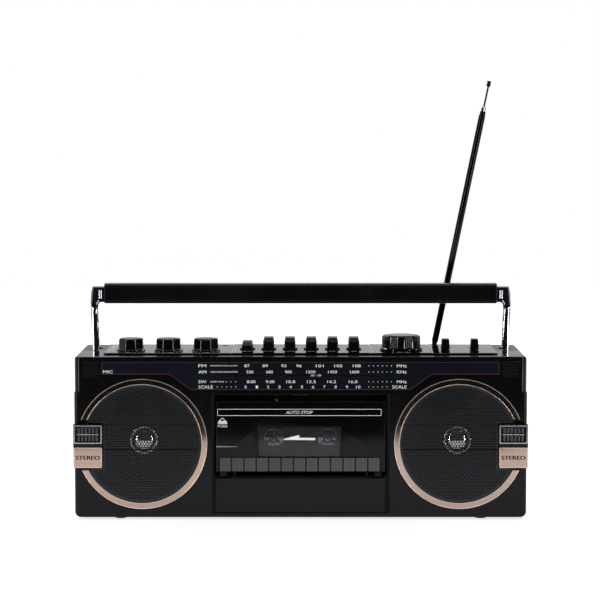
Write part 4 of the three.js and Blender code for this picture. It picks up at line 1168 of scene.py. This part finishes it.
def aerial():
    """The leaning mast, turned finely: dark tube, bright section, thin rod and tip."""
    along = Vector(joint("aerial_section_slide")["axis"])
    foot = Vector(joint("aerial_tilt")["pos_m"])
    lean = math.atan2(along.x, along.z)
    turn = Matrix.Translation(foot) @ Matrix.Rotation(lean, 4, "Y")

    def ends(node):
        """Distances along the mast of a node's two ends, from the pivot."""
        axis = Vector((math.sin(lean), 0, math.cos(lean)))
        reach = [axis.dot(v.co - foot) for v in frame["nodes"][node].data.vertices]
        return min(reach), max(reach)

    def mast(name, node, bm, material):
        bmesh.ops.remove_doubles(bm, verts=bm.verts, dist=1e-8)
        bmesh.ops.transform(bm, matrix=turn, verts=bm.verts)
        piece(name, bm, node, [material], [node], TURNED_SMOOTH_ANGLE)

    def turned(profile):
        bm = bmesh.new()
        add_turned(bm, profile, (0, 0, 0), "Z", 32)
        return bm

    tube_foot = from_mm(((0, 7), (2.2, 7), (2.7, 7.6)))
    tube_mouth = ((2.7, -3.2), (2.35, -2.8), (2.35, -0.3), (2.3, 0), (2.2, -0.3), (2.2, -8), (0, -8))
    tube = turned(tube_foot + from_mm(tube_mouth, 0, ends("aerial_tube")[1]))
    add_box(tube, (-2 * MM, -1 * MM, -1.9 * MM), (2 * MM, 1 * MM, 7.5 * MM))
    mast("mast_tube", "aerial_tube", tube, "black_chrome")

    low, top = ends("aerial_section")
    foot_ring = from_mm(((1.4, 0), (1.9, 0)), 0, low)
    mouth = from_mm(((1.9, -1.0), (1.6, -0.2), (1.4, 0)), 0, top)
    mast("mast_section", "aerial_section", turned(foot_ring + mouth + foot_ring[:1]), "chrome")

    low, top = ends("aerial_rod")
    tip = ((0.75, -4.9), (1.2, -4.8), (1.8, -4.1), (1.8, -2.5), (1.35, -2.2), (1.35, -1.7), (1.8, -1.4),
           (1.8, -0.9), (1.4, -0.2), (0, 0))
    rod = turned(from_mm(((0, 0), (0.75, 0)), 0, low) + from_mm(tip, 0, top))
    mast("mast_rod", "aerial_rod", rod, "black_chrome")
    refined("aerial_swivel", "chrome", 0.2 * MM, 2, 40)


# ---------- case, back and inside ----------
def front_shell():
    """The front shell, with painted shade: dull black, unreflecting plastic down in the recess round the
    cassette door.
    """
    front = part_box("front_shell")[0].y
    door_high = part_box("cassette_door")[1]
    side, top = door_high.x + 4 * MM, door_high.z + 8 * MM
    darken(refined("front_shell", "case", 0.3 * MM),
           lambda spot: 0.3 * MM < spot.y - front < 3 * MM and abs(spot.x) < side and spot.z < top)


def rubber_foot(node):
    low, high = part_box(node)
    radius = half_width(node)
    profile = [(0, low.z), (radius - 0.8 * MM, low.z), (radius - 0.2 * MM, low.z + 0.3 * MM),
               (radius, low.z + 1.0 * MM), (radius, high.z), (0, high.z)]
    centre = middle(node)
    turned_piece(node + "_pad", profile, (centre.x, centre.y, 0), "Z", "case", ["rubber"], [node],
                 None, 48)


def case():
    front_shell()
    refined("rear_shell", "rear", 0.3 * MM)
    refined("battery_door", "rear", 0.3 * MM)
    refined("lower_trim_panel", "case", 0.25 * MM)
    for name, _ in SIDES:
        for end in ("front", "rear"):
            rubber_foot(f"rubber_foot_{end}_{name}")


def case_screws():
    """A screw at the bottom of each of the back's four wells."""
    low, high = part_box("rear_shell")
    head = ((0, 0), (2.9, 0), (2.9, 1.2), (2.2, 1.9), (1.1, 2.1), (1.0, 1.2), (0, 1.0))
    profile = from_mm(head, 0, high.y - 19.8 * MM)
    lower, upper = (162 * MM, low.z + 10 * MM), (146 * MM, high.z - 20 * MM)
    wells = [(side * x, z) for side in (-1, 1) for x, z in (lower, upper)]
    for i, (x, z) in enumerate(wells):
        bm = bmesh.new()
        add_turned(bm, profile, (x, 0, z), "Y", 32)
        piece(f"case_screw_{i + 1}", bm, "case", ["steel"])


def inlet_pins():
    """The two round pins inside the mains inlet."""
    low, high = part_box("rear_shell")
    inlet_x, inlet_z, half_spacing = -152 * MM, low.z + 30 * MM, 4.3 * MM
    profile = from_mm(((0, -7.9), (1.1, -7.9), (1.1, -2.6), (0.55, -1.9), (0, -1.8)), 0, high.y)
    bm = bmesh.new()
    for side in (-1, 1):
        add_turned(bm, profile, (inlet_x + side * half_spacing, 0, inlet_z), "Y", 20)
    piece("inlet_pins", bm, "case", ["chrome"])


INNER = {
    "deck_plate": "dark", "drive_motor": "steel", "drive_belt": "rubber", "circuit_board": "board",
    "supply_spindle": "chrome", "takeup_spindle": "chrome", "capstan_flywheel": "brass",
    "motor_pulley": "brass", "head_bridge": "steel", "pinch_roller": "rubber",
    "handle_pin_left": "steel", "handle_pin_right": "steel",
}
ROUNDED_INNER = ("deck_plate", "head_bridge")


def inner_parts():
    for node, material in INNER.items():
        refined(node, material, 0.15 * MM if node in ROUNDED_INNER else 0, 2, 40)


# ---------- stage ----------
CAMERA_PLACE = Vector((-0.0005, -1.652, 0.3043))
CAMERA_TILT = math.radians(90 - 4.66)
CAMERA_LENS, CAMERA_SENSOR = 124.3, 36
FLOOR_FRONT, FLOOR_BACK, FLOOR_HALF = -0.47, 2.4, 2.2
WORLD_SPAN = (-0.15, 0.3)  # where the reflected surroundings turn from dark to bright, front to back
WORLD_STRENGTH = (0.012, 0.62)


def camera():
    data = bpy.data.cameras.new("camera")
    data.lens = CAMERA_LENS
    data.sensor_width = CAMERA_SENSOR
    data.clip_end = 50
    obj = bpy.data.objects.new("camera", data)
    obj.location = CAMERA_PLACE
    obj.rotation_euler = (CAMERA_TILT, 0, 0)
    show(obj)
    bpy.context.scene.camera = obj


def floor():
    """A pale table top that ends a little way in front of the recorder."""
    bm = bmesh.new()
    corners = ((-FLOOR_HALF, FLOOR_FRONT), (FLOOR_HALF, FLOOR_FRONT), (FLOOR_HALF, FLOOR_BACK),
               (-FLOOR_HALF, FLOOR_BACK))
    bm.faces.new([bm.verts.new((x, y, 0)) for x, y in corners])
    mesh = bpy.data.meshes.new("floor")
    bm.to_mesh(mesh)
    bm.free()
    n = Nodes("floor_paint")
    material = n.finish(
        normal=n.bump(n.noise(120, 2), 0.05, 0.0002),
        Base_Color=(0.55, 0.55, 0.55, 1),
        Roughness=0.6,
        Emission_Color=(0.97, 0.965, 1.0, 1),
        Emission_Strength=0.76,
    )
    material.cycles.emission_sampling = "NONE"
    mesh.materials.append(material)
    obj = bpy.data.objects.new("floor", mesh)
    show(obj)


def softbox(name, place, target, size, power):
    """A rectangular light of (width, height) that points at the target."""
    data = bpy.data.lights.new(name, "AREA")
    data.shape = "RECTANGLE"
    data.size, data.size_y = size
    data.energy = power
    obj = bpy.data.objects.new(name, data)
    obj.location = place
    obj.rotation_euler = (Vector(target) - Vector(place)).to_track_quat("-Z", "Y").to_euler()
    show(obj)


def world():
    """White to the eye; to reflections, white behind the recorder and dark in front of it."""
    surroundings = bpy.data.worlds.new("surroundings")
    bpy.context.scene.world = surroundings
    surroundings.use_nodes = True
    tree = surroundings.node_tree
    background = tree.nodes["Background"]
    place = tree.nodes.new("ShaderNodeTexCoord")
    split = tree.nodes.new("ShaderNodeSeparateXYZ")
    tree.links.new(place.outputs["Generated"], split.inputs["Vector"])
    ramp = tree.nodes.new("ShaderNodeMapRange")
    ramp.interpolation_type = "SMOOTHSTEP"
    ramp.inputs["From Min"].default_value, ramp.inputs["From Max"].default_value = WORLD_SPAN
    ramp.inputs["To Min"].default_value, ramp.inputs["To Max"].default_value = WORLD_STRENGTH
    tree.links.new(split.outputs["Y"], ramp.inputs["Value"])
    path = tree.nodes.new("ShaderNodeLightPath")
    choice = tree.nodes.new("ShaderNodeMix")
    choice.data_type = "FLOAT"
    tree.links.new(path.outputs["Is Camera Ray"], choice.inputs["Factor"])
    tree.links.new(ramp.outputs["Result"], choice.inputs[2])
    choice.inputs[3].default_value = 1.0
    tree.links.new(choice.outputs[0], background.inputs["Strength"])
    background.inputs["Color"].default_value = (1, 1, 1, 1)


def lights():
    handle_height, body_centre = (0, 0, 0.25), (0, 0, 0.08)
    for name, side in SIDES:
        softbox(f"{name}_strip", (side * 1.35, -1.35, 0.25), handle_height, (0.16, 1.7), 16)
    softbox("overhead_strip", (0, -1.1, 1.9), body_centre, (2.6, 0.35), 18)
    softbox("back_box", (0, 1.3, 1.5), body_centre, (1.6, 0.6), 18)
    bpy.context.scene.view_settings.view_transform = "Standard"


camera()
for name, side in SIDES:
    perforated_sheet(name, side)
    grille_gasket(name)
    grille_creases(name, side)
    trim_ring(name, side)
    woofer(name)
    side_block(name)
case()
dial()
cassette_door()
controls()
handle()
aerial()
case_screws()
inlet_pins()
inner_parts()
floor()
world()
lights()
